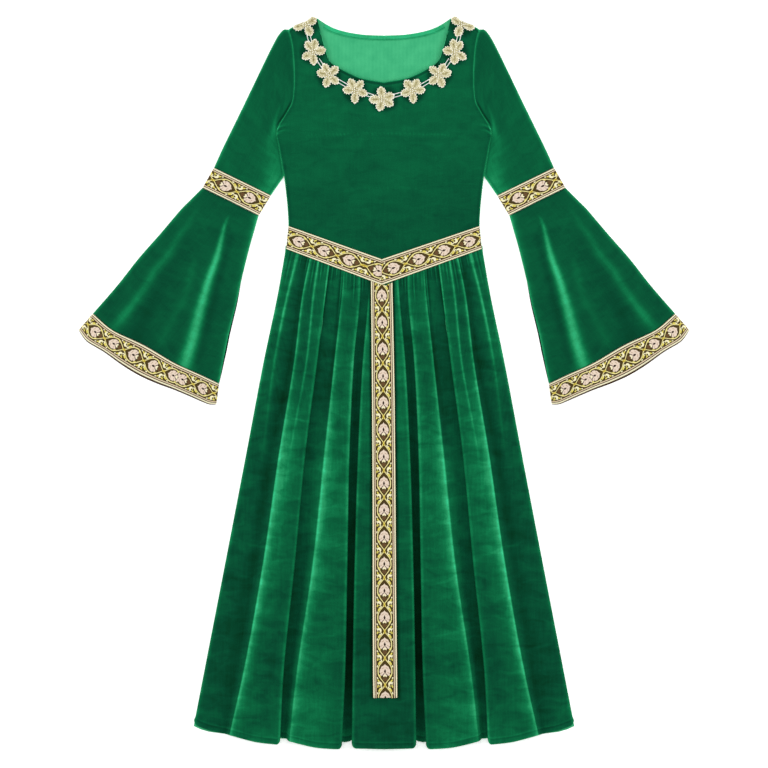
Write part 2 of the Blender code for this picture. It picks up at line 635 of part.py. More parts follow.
def make_neck_trim(crochet, cord):
    """Nine flowers along the front neckline with two cords between neighbours."""
    left = list(zip(FLOWERS["out"], FLOWERS["down"], FLOWERS["turn"]))
    spots = left + [(-out, down, 180.0 - turn) for out, down, turn in reversed(left[:-1])]
    for number, (out, down, turn) in enumerate(spots, start=1):
        make_piece(f"flower_{number}", flower_shape(out, down, turn), crochet)
    centres = [spot[:2] for spot in spots]
    for number, (start, end) in enumerate(zip(centres, centres[1:]), start=1):
        for letter, sideways in (("a", CORD_APART / 2), ("b", -CORD_APART / 2)):
            make_piece(f"flower_cord_{number}{letter}", cord_shape(start, end, sideways), cord)


for old in list(bpy.data.objects):
    bpy.data.objects.remove(old, do_unlink=True)

velvet = make_material("green_velvet", (0.012, 0.118, 0.052), 0.75)
knit = make_material("velvet_knit_back", (0.06, 0.42, 0.18), 0.9)
ribbon = make_material("jacquard_ribbon", (0.50, 0.40, 0.24), 0.6)
crochet = make_material("beaded_crochet", (0.70, 0.66, 0.42), 0.6)
cord = make_material("flower_cord", (0.75, 0.72, 0.58), 0.7)

make_bodice(velvet, knit)
make_sleeve(velvet, ribbon)
make_skirt(velvet, ribbon)
make_belt(ribbon)
make_neck_trim(crochet, cord)
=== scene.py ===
# A child's medieval costume dress in green velvet, laid flat on its back, with a woven ribbon belt and tail,
# ribbon bands on its bell sleeves and a chain of beaded crochet flowers along its neckline.
# Tables and sizes are in millimetres. The meshes are made in metres, +Z up, hem towards -Y.
# "out" is a distance from the centre line, "down" a distance below the shoulder's neck point,
# and "rise" the height of a cloth wall's middle above where it would lie flat on the back of the dress.
# The shade that the velvet shows from above runs from 0, dark, to 2, bright: its tone, with painted
# highlights on crests, edges and seams and painted shade in valleys, hollows and beside the flowers and
# tail.

import math
import random

import bpy
import numpy as np
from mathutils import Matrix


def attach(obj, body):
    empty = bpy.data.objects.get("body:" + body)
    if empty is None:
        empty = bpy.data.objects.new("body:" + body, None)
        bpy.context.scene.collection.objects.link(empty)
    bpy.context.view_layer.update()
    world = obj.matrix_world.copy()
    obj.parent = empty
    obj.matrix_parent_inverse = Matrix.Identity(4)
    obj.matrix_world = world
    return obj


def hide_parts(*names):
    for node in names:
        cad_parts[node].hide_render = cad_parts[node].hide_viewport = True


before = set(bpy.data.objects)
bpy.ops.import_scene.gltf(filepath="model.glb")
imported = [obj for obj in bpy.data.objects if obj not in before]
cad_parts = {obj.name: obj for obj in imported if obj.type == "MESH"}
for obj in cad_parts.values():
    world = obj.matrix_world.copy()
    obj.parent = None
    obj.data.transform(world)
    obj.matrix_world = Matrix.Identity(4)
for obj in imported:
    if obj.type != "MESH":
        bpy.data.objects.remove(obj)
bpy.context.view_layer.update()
bpy.ops.object.select_all(action="DESELECT")

# Camera
# The photo was taken straight from above. A long lens keeps the folds from leaning outwards.
PICTURE_WIDTH = 1.0535
PICTURE_MIDDLE = (0.0, -0.0003)
LENS = 135.0
SENSOR = 36.0

camera_data = bpy.data.cameras.new("camera_above")
camera_data.lens = LENS
camera_data.sensor_width = SENSOR
camera = bpy.data.objects.new("camera_above", camera_data)
camera.location = (*PICTURE_MIDDLE, PICTURE_WIDTH * LENS / SENSOR)
bpy.context.scene.collection.objects.link(camera)
bpy.context.scene.camera = camera
bpy.context.scene.view_settings.view_transform = "Standard"


# Floor and light
# A white table top, lit as a cut-out on white is, evenly from all round, with two large soft lights
# low on either side that catch the pile of the velvet on the flanks of its folds.
FLOOR_SIZE = 8.0
FLOOR_BELOW = -0.0003
FLOOR_GLOW = 0.30
SKY_STRENGTH = 0.66


def linear(code):
    """Turn an sRGB hex colour into the linear colour that a shader takes."""
    parts = [int(code[k:k + 2], 16) / 255 for k in (1, 3, 5)]
    return [part / 12.92 if part <= 0.04045 else ((part + 0.055) / 1.055) ** 2.4 for part in parts] + [1.0]


def add_node(material, kind, inputs=None, **settings):
    """Add a node with its settings, and set each input to a value or link it to a node or socket."""
    node = material.node_tree.nodes.new("ShaderNode" + kind)
    for name, value in settings.items():
        setattr(node, name, value)
    for name, value in (inputs or {}).items():
        if isinstance(value, bpy.types.Node):
            value = value.outputs[0]
        if isinstance(value, bpy.types.NodeSocket):
            material.node_tree.links.new(value, node.inputs[name])
        else:
            node.inputs[name].default_value = value
    return node


def new_material(name, base, roughness, **sockets):
    """Start a material from its base colour, roughness and other values on the shader's own sockets."""
    material = bpy.data.materials.new(name)
    material.use_nodes = True
    surface = material.node_tree.nodes["Principled BSDF"]
    surface.inputs["Base Color"].default_value = linear(base)
    surface.inputs["Roughness"].default_value = roughness
    for socket, value in sockets.items():
        surface.inputs[socket.replace("_", " ")].default_value = value
    return material, surface


def colour_ramp(material, level, stops):
    """Turn a level into a colour, by the place of each stop from 0 to 1 and its colour."""
    ramp = add_node(material, "ValToRGB", {"Fac": level})
    elements = ramp.color_ramp.elements
    for element, (place, code) in ((elements[0], stops[0]), (elements[1], stops[-1])):
        element.position = place
        element.color = linear(code)
    for place, code in stops[1:-1]:
        elements.new(place).color = linear(code)
    return ramp.outputs["Color"]


def finish(material, surface, colour, height=None, strength=0.0, distance=0.0):
    """Link a material's colour to its surface, and the height that roughens it."""
    material.node_tree.links.new(colour, surface.inputs["Base Color"])
    if height is not None:
        bump = add_node(material, "Bump", {"Height": height, "Strength": strength, "Distance": distance})
        material.node_tree.links.new(bump.outputs["Normal"], surface.inputs["Normal"])
    return material


def soft_light(name, place, size, power):
    """Hang a large square light at a place, turned to the middle of the dress."""
    data = bpy.data.lights.new(name, "AREA")
    data.size = size
    data.energy = power
    lamp = bpy.data.objects.new(name, data)
    lamp.location = place
    lamp.rotation_euler = (-lamp.location).to_track_quat("-Z", "Y").to_euler()
    bpy.context.scene.collection.objects.link(lamp)


bpy.ops.mesh.primitive_plane_add(size=FLOOR_SIZE, location=(0, 0, FLOOR_BELOW))
floor = bpy.context.object
floor.name = "table_top"
white_top, white_surface = new_material("white_table_top", "#fdfdfd", 0.9, Emission_Strength=FLOOR_GLOW)
white_surface.inputs["Emission Color"].default_value = linear("#ffffff")
floor.data.materials.append(white_top)

world = bpy.data.worlds.new("white_studio")
world.use_nodes = True
world.node_tree.nodes["Background"].inputs["Color"].default_value = linear("#ffffff")
world.node_tree.nodes["Background"].inputs["Strength"].default_value = SKY_STRENGTH
bpy.context.scene.world = world

soft_light("soft_light_left", (-2.4, 0.3, 1.5), 1.6, 34.0)
soft_light("soft_light_right", (2.4, 0.3, 1.5), 1.6, 34.0)
soft_light("soft_light_above", (0, 0.8, 3.2), 2.4, 26.0)


# Bodice
# Front and back of stretch velvet, cut on the fold and joined at the shoulders and sides. The front neckline
# dips to a small point and is turned in, and the back neckline's turned hem shows inside it.
VELVET = 1.4
SEAM = 0.3
REST = VELVET + SEAM + VELVET / 2
SHOULDER_Y = 500.5
MM = 0.001


def table(columns, *rows):
    """Give the columns of a table by name."""
    return {name: np.array(values, float) for name, values in zip(columns.split(), zip(*rows))}


def marks(*rows):
    """Points along a soft ridge, hollow or fold mark: out, down, half width, height and the painted
    highlight or shade along it.
    """
    return table("out down half_width rise nap", *rows)


FRONT_NECK = table("out down", (91.5, -0.5), (84, 31), (77, 54), (72, 61), (59, 69), (36, 80), (19, 84),
                   (0, 87))
BACK_NECK = table("out down", (91.5, -0.5), (73, 11), (54, 17.5), (28, 21.8), (0, 23))
SHOULDER = table("out down", (131, 15), (122, 9), (91.5, -0.5))
ARMHOLE = table("out down", (131, 15), (127.5, 28), (124.3, 53), (123.3, 75), (124, 98), (127.5, 118),
                (135, 131), (144, 146), (147, 153))
SIDE = table("out down", (147, 153), (144, 177), (140, 199), (137, 216), (135, 232), (132, 262),
             (131, 284), (134, 316))
UPPER_UNDERARM = table("out down", (155, 242), (137, 216))
BELT_BOTTOM = table("out down", (0, 365.5), (134, 316))
WAIST_SEAM_ABOVE_BELT_EDGE = 5.0
WAIST_AT_SIDE = SIDE["down"][-1] - WAIST_SEAM_ABOVE_BELT_EDGE
BODICE_RISE = 2.0
# Mesh lines of the bodice: close together at its edges, where the turned cloth catches the light
SHOULDER_PARTS = (0.0, 0.02, 0.045, 0.08, 0.14, 0.24, 0.36, 0.5, 0.66, 0.83)
SHOULDER_SHARE = 0.16
NECK_STEPS = 48
EDGE_ROWS = (0.0, 1.0, 2.0, 3.0, 4.2, 5.4, 6.8, 8.4)
ROW_STEP = 2.3
# Marks left by the packet's folds, then the pulls and hollow at the armpit, each with painted highlight or
# painted shade, and a painted sheen along the shoulder
BODICE_MARKS = (
    marks((126, 163, 1.5, 0.0, 0.0), (70, 159, 1.5, 0.3, 0.17),
          (0, 157.5, 1.5, 0.3, 0.14), (-60, 159, 1.5, 0.3, 0.17), (-118, 162, 1.5, 0.0, 0.0)),
    marks((60, 167, 1.4, 0.0, 0.0), (20, 165, 1.4, 0.2, 0.10),
          (-25, 162.5, 1.4, 0.2, 0.08), (-44, 161.5, 1.4, 0.0, 0.0)),
    marks((126, 169, 4.0, 0.0, 0.0), (50, 166, 4.0, -0.1, -0.06),
          (-50, 165, 4.0, -0.1, -0.06), (-120, 168, 4.0, 0.0, 0.0)),
    marks((70, 239, 1.6, 0.0, 0.0), (30, 232, 1.6, 0.3, 0.10),
          (-30, 234, 1.6, 0.3, 0.07), (-66, 236, 1.6, 0.0, 0.0)),
    marks((147, 151, 1.4, 0.6, 0.55), (141, 147, 1.5, 0.5, 0.34),
          (133, 145, 1.8, 0.2, 0.12), (124, 146, 2.5, 0.0, 0.0)),
    marks((146, 157, 1.5, 0.5, 0.45), (140, 153, 1.6, 0.4, 0.24),
          (132, 153, 2.2, 0.0, 0.0)),
    marks((145, 154, 1.0, -0.2, -0.25), (138, 150, 1.2, -0.2, -0.16),
          (128, 150, 2.0, 0.0, 0.0)),
    marks((130, 16, 1.6, 0.0, 0.45), (122, 10.5, 1.6, 0.0, 0.50),
          (108, 6, 1.6, 0.0, 0.30)))
FLOWERS = table("out down", (107, 8.5), (97.5, 46), (75.5, 78), (39.5, 99), (2.5, 110.5))
FLOWER_REACH = 16.8
FLOWER_SHADE = 0.30
BODICE_NAP = 0.83
# Lines of painted highlight and shade, or of height, beside an edge: how far from it each lies, its half
# width and what it adds
# Painted highlights along the armhole and side seams and the turned neckline, with painted shade and a faint
# highlight just inside them
BODICE_SEAM_SHADE = ((0.0, 1.0, 0.62), (3.2, 1.6, -0.10))
BODICE_NECK_SHADE = ((0.0, 0.9, 0.85), (3.4, 1.7, -0.22), (6.2, 1.0, 0.09))
BODICE_NECK_RISE = ((1.5, 1.5, 0.25), (5.2, 1.2, -0.25))
# The back neckline's hem: its width, its end, its mesh lines, the groove of its stitching, and the small
# ribs at its middle, which are counted in mesh columns
NECK_HEM_WIDTH = 7.0
NECK_HEM_END = 82.0
NECK_HEM_STEPS = 60
NECK_HEM_LINES = np.array((0.0, 0.08, 0.2, 0.35, 0.5, 0.65, 0.74, 0.8, 0.86, 0.93, 1.0))
NECK_HEM_CROWN = 0.35
NECK_HEM_STITCHED = 0.80
NECK_HEM_NAP = 1.66
RIB_SHADE = 0.07
RIB_TURN = 2.1
RIBS_MIDDLE = 62
RIBS_REACH = 16
MARK_STEPS = 12
THIN_WALL = 0.8


def curve(points, steps=8):
    """Round a run of points off into a smooth line through each of them."""
    points = np.asarray(points, float)
    spans = np.linalg.norm(np.diff(points, axis=0), axis=1)
    heading = np.concatenate((points[1:2] - points[:1], points[2:] - points[:-2],
                              points[-1:] - points[-2:-1]))
    heading /= np.linalg.norm(heading, axis=1)[:, None]
    reach = np.minimum(np.append(spans, spans[-1]), np.append(spans[0], spans))
    slope = heading * reach[:, None]
    counts = np.broadcast_to(steps, spans.shape)
    line = []
    for k, count in enumerate(counts):
        s = (np.arange(count) / count)[:, None]
        line.append((2 * s**3 - 3 * s**2 + 1) * points[k] + (s**3 - 2 * s**2 + s) * slope[k]
                    + (3 * s**2 - 2 * s**3) * points[k + 1] + (s**3 - s**2) * slope[k + 1])
    line.append(points[-1:])
    return np.concatenate(line)


def line_of(outline):
    """Give an outline's smooth line as out, down."""
    return curve(np.stack((outline["out"], outline["down"]), axis=1))


def even(line, places):
    """Take points along a line, at a number of equal steps or at given parts of its length."""
    along = np.concatenate(([0.0], np.cumsum(np.linalg.norm(np.diff(line, axis=0), axis=1))))
    if np.isscalar(places):
        places = np.linspace(0.0, 1.0, places + 1)
    return np.stack([np.interp(places * along[-1], along, values) for values in line.T], axis=1)


def smooth(levels, values, at):
    """Read a smooth line through values given at rising levels."""
    at = np.clip(at, levels[0], levels[-1])
    slope = np.gradient(values, levels)
    k = np.clip(np.searchsorted(levels, at, side="right") - 1, 0, len(levels) - 2)
    span = levels[k + 1] - levels[k]
    s = (at - levels[k]) / span
    return ((2 * s**3 - 3 * s**2 + 1) * values[k] + (s**3 - 2 * s**2 + s) * span * slope[k]
            + (3 * s**2 - 2 * s**3) * values[k + 1] + (s**3 - s**2) * span * slope[k + 1])


def ease(value):
    """Turn a value into a soft step from 0 to 1."""
    value = np.clip(value, 0.0, 1.0)
    return value * value * (3.0 - 2.0 * value)


def near(distance, half_width):
    """A soft bump: 1 at a line, fading to nothing over about twice its half width."""
    return np.exp(-(distance / half_width) ** 2)


def shift(line, gap):
    """Move a line sideways, to the left of its own direction as seen in out, down."""
    heading = np.gradient(line, axis=0)
    heading /= np.linalg.norm(heading, axis=1)[:, None]
    return line + gap * np.stack((heading[:, 1], -heading[:, 0]), axis=1)


def space(out, down, height):
    """Place points of the left half in space, still in millimetres."""
    return np.stack((-out, SHOULDER_Y - down, height), axis=-1)


def both_halves(grid, sign=-1.0):
    """Complete a left half grid, whose last column is the centre line, with its mirror image."""
    mirrored_half = grid[:, -2::-1].copy()
    mirrored_half[..., 0] *= sign
    return np.concatenate((grid, mirrored_half), axis=1)


def both_shades(nap):
    """Complete a left half's shades with their mirror image."""
    return both_halves(nap[..., None], 1.0)[..., 0]


def unit(vectors):
    """Give vectors a length of one."""
    return vectors / np.maximum(np.linalg.norm(vectors, axis=-1, keepdims=True), 1e-9)


def distance_along(vectors):
    """Length of each vector of a grid."""
    return np.linalg.norm(vectors, axis=-1)


def add_marks(out, down, rise, nap, marked):
    """Add to cloth, near their lines, the height of its ridges, hollows and fold marks and their painted
    highlight or shade.
    """
    for mark in marked:
        line = curve(np.stack(list(mark.values()), axis=1), MARK_STEPS)
        away = np.hypot(out[..., None] - line[:, 0], down[..., None] - line[:, 1])
        nearest = away.argmin(axis=-1)
        strength = near(away.min(axis=-1), line[nearest, 2])
        rise += strength * line[nearest, 3]
        nap += strength * line[nearest, 4]


def edge_lines(away, lines):
    """What the lines beside an edge add to shade or height, at distances away from it."""
    return sum(lift * near(away - place, half_width) for place, half_width, lift in lines)


def shell(top, wall=1.1):
    """Close a thin sheet of cloth under the grid of its upper side, with its edges rounded over.
    Gives points, faces, the grid point that each point stands for, and 1 for the faces underneath."""
    rows, columns = top.shape[:2]
    top = top.copy()
    normal = unit(np.cross(np.gradient(top, axis=0), np.gradient(top, axis=1)))
    bottom = top - normal * wall
    rim = (top + bottom) / 2
    for edge, beside in (((slice(None), 0), (slice(None), 1)), ((slice(None), -1), (slice(None), -2)),
                         ((0, slice(None)), (1, slice(None))), ((-1, slice(None)), (-2, slice(None)))):
        inward = rim[beside] - rim[edge]
        inward = unit(inward) * np.minimum(wall / 2, distance_along(inward) * 0.6)[..., None]
        top[edge] += inward
        bottom[edge] += inward
    number = np.arange(rows * columns).reshape(rows, columns)
    corners = (number[:-1, :-1], number[1:, :-1], number[1:, 1:], number[:-1, 1:])
    upper_faces = np.stack(corners, axis=-1).reshape(-1, 4)
    lower_faces = np.stack([c + rows * columns for c in corners[::-1]], axis=-1).reshape(-1, 4)
    loop = np.concatenate((number[:, 0], number[-1, 1:], number[-2::-1, -1], number[0, -2:0:-1]))
    ring = np.arange(len(loop)) + 2 * rows * columns
    beneath = loop + rows * columns
    edge_faces = np.concatenate((
        np.stack((loop, ring, np.roll(ring, -1), np.roll(loop, -1)), axis=1),
        np.stack((ring, beneath, np.roll(beneath, -1), np.roll(ring, -1)), axis=1)))
    points = np.concatenate((top.reshape(-1, 3), bottom.reshape(-1, 3), rim.reshape(-1, 3)[loop]))
    source = np.concatenate((number.ravel(), number.ravel(), loop))
    faces = np.concatenate((upper_faces, lower_faces, edge_faces))
    underneath = np.repeat((0, 1, 0), (len(upper_faces), len(lower_faces), len(edge_faces)))
    return points, faces, source, underneath


def make_piece(name, points, faces, materials, replaces=(), values=None, uv=None,
               sides=None):
    """Add a finished piece: its mesh, its materials, its shade values and UV map, and hide the parts that it
    stands for.
    """
    mesh = bpy.data.meshes.new(name)
    faces = faces.tolist() if isinstance(faces, np.ndarray) else faces
    mesh.from_pydata((np.asarray(points) * MM).tolist(), [], faces)
    for material in materials:
        mesh.materials.append(material)
    mesh.shade_smooth()
    if sides is not None:
        mesh.polygons.foreach_set("material_index", np.ascontiguousarray(sides, dtype=np.int32))
    if values is not None:
        layer = mesh.attributes.new("nap", "FLOAT", "POINT")
        layer.data.foreach_set("value", np.ascontiguousarray(values, dtype=np.float32))
    if uv is not None:
        corners = np.zeros(len(mesh.loops), np.int32)
        mesh.loops.foreach_get("vertex_index", corners)
        layer = mesh.uv_layers.new(name="along_and_across")
        layer.data.foreach_set("uv", np.ascontiguousarray(uv[corners], dtype=np.float32).ravel())
    piece = bpy.data.objects.new(name, mesh)
    bpy.context.scene.collection.objects.link(piece)
    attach(piece, "root")
    if replaces:
        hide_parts(*replaces)
    return piece


# Stretch velvet: a knitted polyester ground with a cut pile of about 1 mm. Straight down the pile it looks
# deep green, and where the pile leans or is brushed up it turns to a pale green sheen.
# Each shade is the colour laid on where the mesh carries that level of tone and painted light and shade.
VELVET_SHADES = {0.00: "#000f06", 0.32: "#011f10", 0.48: "#022f19", 0.68: "#04412a", 0.94: "#075936",
                 1.19: "#0e7145", 1.54: "#26925f", 1.88: "#30b37b", 2.15: "#48c790"}
SHADES_UP_TO = 2.15


def make_velvet(name, brushed):
    """Cut pile: its shade from the tone and painted light and shade on the mesh, brushed clouds and crushed
    marks, and the grain of the pile.
    """
    material, surface = new_material(name, "#085936", 0.9, Specular_IOR_Level=0.03, Sheen_Weight=0.22,
                                     Sheen_Roughness=0.4)
    surface.inputs["Sheen Tint"].default_value = linear("#35c586")
    cloth = add_node(material, "UVMap", uv_map="along_and_across")
    nap = add_node(material, "Attribute", attribute_name="nap").outputs["Fac"]
    patterns = (
        ((0.55, 1.0, 1.0), 28.0, 2.0, 0.4, 0.30 * brushed),     # brushed clouds of 65 by 35 mm
        ((0.45, 1.0, 1.0), 80.0, 3.0, 1.0, 0.34 * brushed),     # crushed marks across the cloth, 28 by 12 mm
        ((1.0, 0.10, 1.0), 330.0, 2.0, 0.2, 0.14 * brushed),    # streaks 3 mm wide down the cloth
        ((1.0, 1.0, 1.0), 560.0, 2.0, 0.0, 0.20))               # grain of the pile, drawn coarse
    uneven = 1.0 - sum(pattern[-1] for pattern in patterns) / 2
    for scale, fineness, detail, distortion, strength in patterns:
        place = add_node(material, "Mapping", {"Vector": cloth, "Scale": scale})
        noise = add_node(material, "TexNoise", {"Vector": place, "Scale": fineness, "Detail": detail,
                                                "Distortion": distortion})
        uneven = add_node(material, "Math", {0: noise, 1: strength, 2: uneven}, operation="MULTIPLY_ADD")
    shade = add_node(material, "Math", {0: nap, 1: uneven}, operation="MULTIPLY")
    level = add_node(material, "Math", {0: shade, 1: SHADES_UP_TO}, operation="DIVIDE")
    stops = [(value / SHADES_UP_TO, code) for value, code in VELVET_SHADES.items()]
    return finish(material, surface, colour_ramp(material, level, stops), noise, 0.25, 0.0006)


def make_knit_back():
    """The velvet's wrong side: a smooth fine knit, lighter than the pile, its wales down the cloth."""
    material, surface = new_material("velvet_knit_back", "#3ba772", 0.8, Specular_IOR_Level=0.1)
    cloth = add_node(material, "UVMap", uv_map="along_and_across")
    wales = add_node(material, "TexWave", {"Vector": cloth, "Scale": 60.0, "Distortion": 1.5, "Detail": 1.0,
                                           "Detail Scale": 2.0}, bands_direction="X")
    patches = add_node(material, "TexNoise", {"Vector": cloth, "Scale": 60.0, "Detail": 3.0})
    both = add_node(material, "Math", {0: wales, 1: 0.10, 2: patches}, operation="MULTIPLY_ADD")
    colour = colour_ramp(material, both, ((0.25, "#319c6a"), (0.85, "#42ae78")))
    return finish(material, surface, colour, wales, 0.15, 0.0003)


smooth_velvet = make_velvet("green_stretch_velvet", 0.9)
brushed_velvet = make_velvet("green_stretch_velvet_brushed", 1.7)
knit_back = make_knit_back()


def edge_out(down):
    """How far out the bodice's armhole or side edge lies at a distance down."""
    levels = np.concatenate((ARMHOLE["down"], SIDE["down"][1:]))
    outs = np.concatenate((ARMHOLE["out"], SIDE["out"][1:]))
    return smooth(levels, outs, down)


def waist_seam(out):
    """How far down the waist seam lies, a V that runs with the belt's lower edge."""
    return np.interp(np.abs(out), BELT_BOTTOM["out"], BELT_BOTTOM["down"]) - WAIST_SEAM_ABOVE_BELT_EDGE


def bodice_rise(out, down):
    """Height of the bodice front's middle above the rest height: full at the centre, none at the seams."""
    share = np.abs(out) / edge_out(down)
    return BODICE_RISE * (1.0 - np.clip(share, 0.0, 1.0) ** 2)


def bodice_top(out, down):
    """Height of the bodice front's upper surface."""
    return REST + bodice_rise(out, down) + VELVET / 2


def bodice_plan(neck, seam_down):
    """Grid of the bodice's left half from its shoulder and neckline to its waist."""
    first = ARMHOLE["down"][0]
    last_edge = first + EDGE_ROWS[-1]
    count = int((WAIST_AT_SIDE - last_edge) / ROW_STEP)
    stations = np.concatenate((first + np.array(EDGE_ROWS),
                               np.linspace(last_edge, WAIST_AT_SIDE, count)[1:]))
    parts = np.array(SHOULDER_PARTS)
    shoulder = even(np.stack((SHOULDER["out"], SHOULDER["down"]), axis=1), parts)
    top = np.concatenate((shoulder, even(line_of(neck), NECK_STEPS)))
    share = np.concatenate((1.0 - SHOULDER_SHARE * parts,
                            np.linspace(1.0 - SHOULDER_SHARE, 0.0, NECK_STEPS + 1)))
    bottom_down = seam_down(share * SIDE["out"][-1]) - SEAM / 2
    r = ((stations - stations[0]) / (stations[-1] - stations[0]))[:, None]
    down = (1 - r) * top[:, 1] + r * bottom_down
    straight_edge = (1 - r) * top[0, 0] + r * SIDE["out"][-1]
    out = (1 - r) * top[:, 0] + r * share * SIDE["out"][-1]
    out[1:] += (share**3 * (edge_out(down) - straight_edge))[1:]
    return out, down


def painted_shadow_round_flowers(out, down):
    """How much a painted shadow darkens the velvet round the edges of the flowers."""
    dark = np.zeros_like(out)
    for flower_out, flower_down in zip(FLOWERS["out"], FLOWERS["down"]):
        away = np.hypot(out - flower_out, down - flower_down)
        dark = np.maximum(dark, near(np.maximum(away - FLOWER_REACH + 3.0, 0.0), 3.5))
    return dark


def make_bodice_front():
    """Front of the bodice, with its turned neckline and its marks."""
    out, down = bodice_plan(FRONT_NECK, waist_seam)
    rise = np.zeros_like(out)
    nap = BODICE_NAP + 0.05 * near(down - 110, 60) - 0.06 * ease((down - 190) / 100)
    add_marks(out, down, rise, nap, BODICE_MARKS)
    plan = np.stack((out, down), axis=-1)
    from_neck = distance_along(plan - plan[:1])
    nap += edge_lines(edge_out(down) - out, BODICE_SEAM_SHADE) + edge_lines(from_neck, BODICE_NECK_SHADE)
    nap -= FLOWER_SHADE * painted_shadow_round_flowers(out, down)
    rise += edge_lines(from_neck, BODICE_NECK_RISE)
    points, faces, source, sides = shell(both_halves(space(out, down, bodice_top(out, down) + rise)))
    front = make_piece("bodice_front_velvet", points, faces, [smooth_velvet, knit_back], ["bodice_front"],
                       values=both_shades(nap).ravel()[source], uv=points[:, :2] * MM, sides=sides)


def make_neck_hem():
    """The turned hem that shows inside the back neckline."""
    neck = line_of(BACK_NECK)
    neck = even(neck[neck[:, 0] < NECK_HEM_END], NECK_HEM_STEPS)
    inside = shift(neck, NECK_HEM_WIDTH)
    inside[-1, 0] = 0.0
    lines = NECK_HEM_LINES[:, None, None]
    band = (1 - lines) * neck + lines * inside
    sunk = near(NECK_HEM_LINES - NECK_HEM_STITCHED, 0.07)
    crown = NECK_HEM_CROWN * (np.sin(np.pi * NECK_HEM_LINES) - sunk)
    height = np.broadcast_to((REST + crown)[:, None], band.shape[:2])
    grid = both_halves(space(band[..., 0], band[..., 1], height))
    columns = np.arange(grid.shape[1])
    ribbed = RIB_SHADE * np.sin(columns * RIB_TURN) * near(columns - RIBS_MIDDLE, RIBS_REACH)
    # Painted highlight along the hem's folded top edge and painted shade in the groove of its stitching; the
    # ribs at the middle alternate lighter and darker
    nap = (NECK_HEM_NAP + 0.16 * near(NECK_HEM_LINES, 0.12) - 0.42 * sunk)[:, None] + ribbed
    points, faces, source, _ = shell(grid, THIN_WALL)
    return make_piece("back_neck_hem_velvet", points, faces, [smooth_velvet], ["back_neck_hem"],
                      values=nap.ravel()[source], uv=points[:, :2] * MM)


def make_bodice_back():
    """Back of the bodice, whose knitted wrong side shows inside the neckline, with its hem."""
    out, down = bodice_plan(BACK_NECK, lambda place: np.full_like(place, WAIST_AT_SIDE))
    points, faces, _, sides = shell(both_halves(space(out, down, np.full_like(out, VELVET))), VELVET)
    back = make_piece("bodice_back_velvet", points, faces, [knit_back, smooth_velvet], ["bodice_back"],
                      values=np.full(len(points), BODICE_NAP), uv=points[:, :2] * MM, sides=sides)
    hem = make_neck_hem()


make_bodice_front()
make_bodice_back()


# Upper sleeves
# One piece of velvet each, closed with an underarm seam and set into the armhole. It lies as a flattened
# tube that narrows towards the armband, its outer edge a soft fold, pulled a little at the armpit.
UPPER_OUTER = table("out down", (131, 15), (138, 15), (146.5, 25.5), (159.5, 50.5), (190, 114),
                    (221, 177.5), (233, 204))
ARMBAND_TOP = table("out down", (233, 204), (155, 242))
ARMBAND_BOTTOM = table("out down", (249, 232), (172, 270))
ARMHOLE_CORNER = 102.4
ARMHOLE_OVERLAP = -0.25
UPPER_RISE = 3.0
UPPER_RISE_KEPT = 0.5
UPPER_RISE_WITHIN = 0.2
TUBE_ROUNDNESS = 0.7
FOLD_RADIUS = 2.2
# Parts of the way across a tube at which its mesh has columns: close together at its two folded edges
ACROSS = np.concatenate(([0.0, 0.003, 0.008, 0.015, 0.025], np.linspace(0.04, 0.96, 64),
                         [0.975, 0.985, 0.992, 0.997, 1.0]))
# Columns from a tube's folded edge to its flat part, the least gap inside it, and the columns of the under
# layer that peep out past that edge: their share of the reach, and of the tube's middle height
PAST_EDGE = 6
LEAST = 0.05
PEEP_COLUMNS = ((-2, 0.12, 0.55), (-3, 0.97, 0.45), (-4, 1.0, 0.2), (-5, 0.9, 0.0))
UPPER_ROWS = 84
UPPER_NAP = 0.85
# Painted highlights along the outer fold, the armhole seam and the inner edge, with painted shade just
# inside the inner edge
UPPER_OUTER_SHADE = ((0.0, 3.0, 0.55),)
UPPER_ARMHOLE_SHADE = ((0.0, 1.2, 0.55),)
UPPER_INNER_SHADE = ((0.0, 1.3, 0.55), (3.6, 1.4, -0.14))
# Painted glow along the inner edge, the pull towards the armpit with its painted highlight, the tuck beside
# the seam in painted shade, and the painted highlight on its lip
UPPER_MARKS = (
    marks((149, 155, 7.0, 0.0, 0.12), (155, 178, 11.0, 0.6, 0.18),
          (150, 203, 14.0, 1.0, 0.30), (150, 228, 17.0, 0.8, 0.42), (156, 242, 17.0, 0.4, 0.45)),
    marks((140, 112, 1.6, 0.0, 0.0), (144, 124, 1.9, 0.5, 0.16),
          (148, 136, 2.4, 0.6, 0.20), (150, 147, 3.2, 0.5, 0.28), (152, 157, 4.2, 0.3, 0.20),
          (160, 172, 6.0, 0.0, 0.0)),
    marks((127, 112, 0.9, 0.0, 0.0), (131, 121, 1.1, -0.4, -0.30),
          (136, 131, 1.2, -0.4, -0.32), (142, 139, 1.1, -0.3, -0.28), (148, 147, 1.0, 0.0, -0.10)),
    marks((134, 114, 0.9, 0.0, 0.0), (138, 126, 1.1, 0.2, 0.12),
          (141, 134, 1.0, 0.0, 0.0)))


def patch(top, bottom, left, right, across, along):
    """Fill four edge lines with a grid: rows run from top to bottom, columns from left to right."""
    r = along[:, None, None]
    s = across[None, :, None]
    sides = (1 - s) * left[:, None] + s * right[:, None]
    ends = (1 - r) * top[None] + r * bottom[None]
    corners = ((1 - r) * ((1 - s) * top[0] + s * top[-1]) + r * ((1 - s) * bottom[0] + s * bottom[-1]))
    return sides + ends - corners


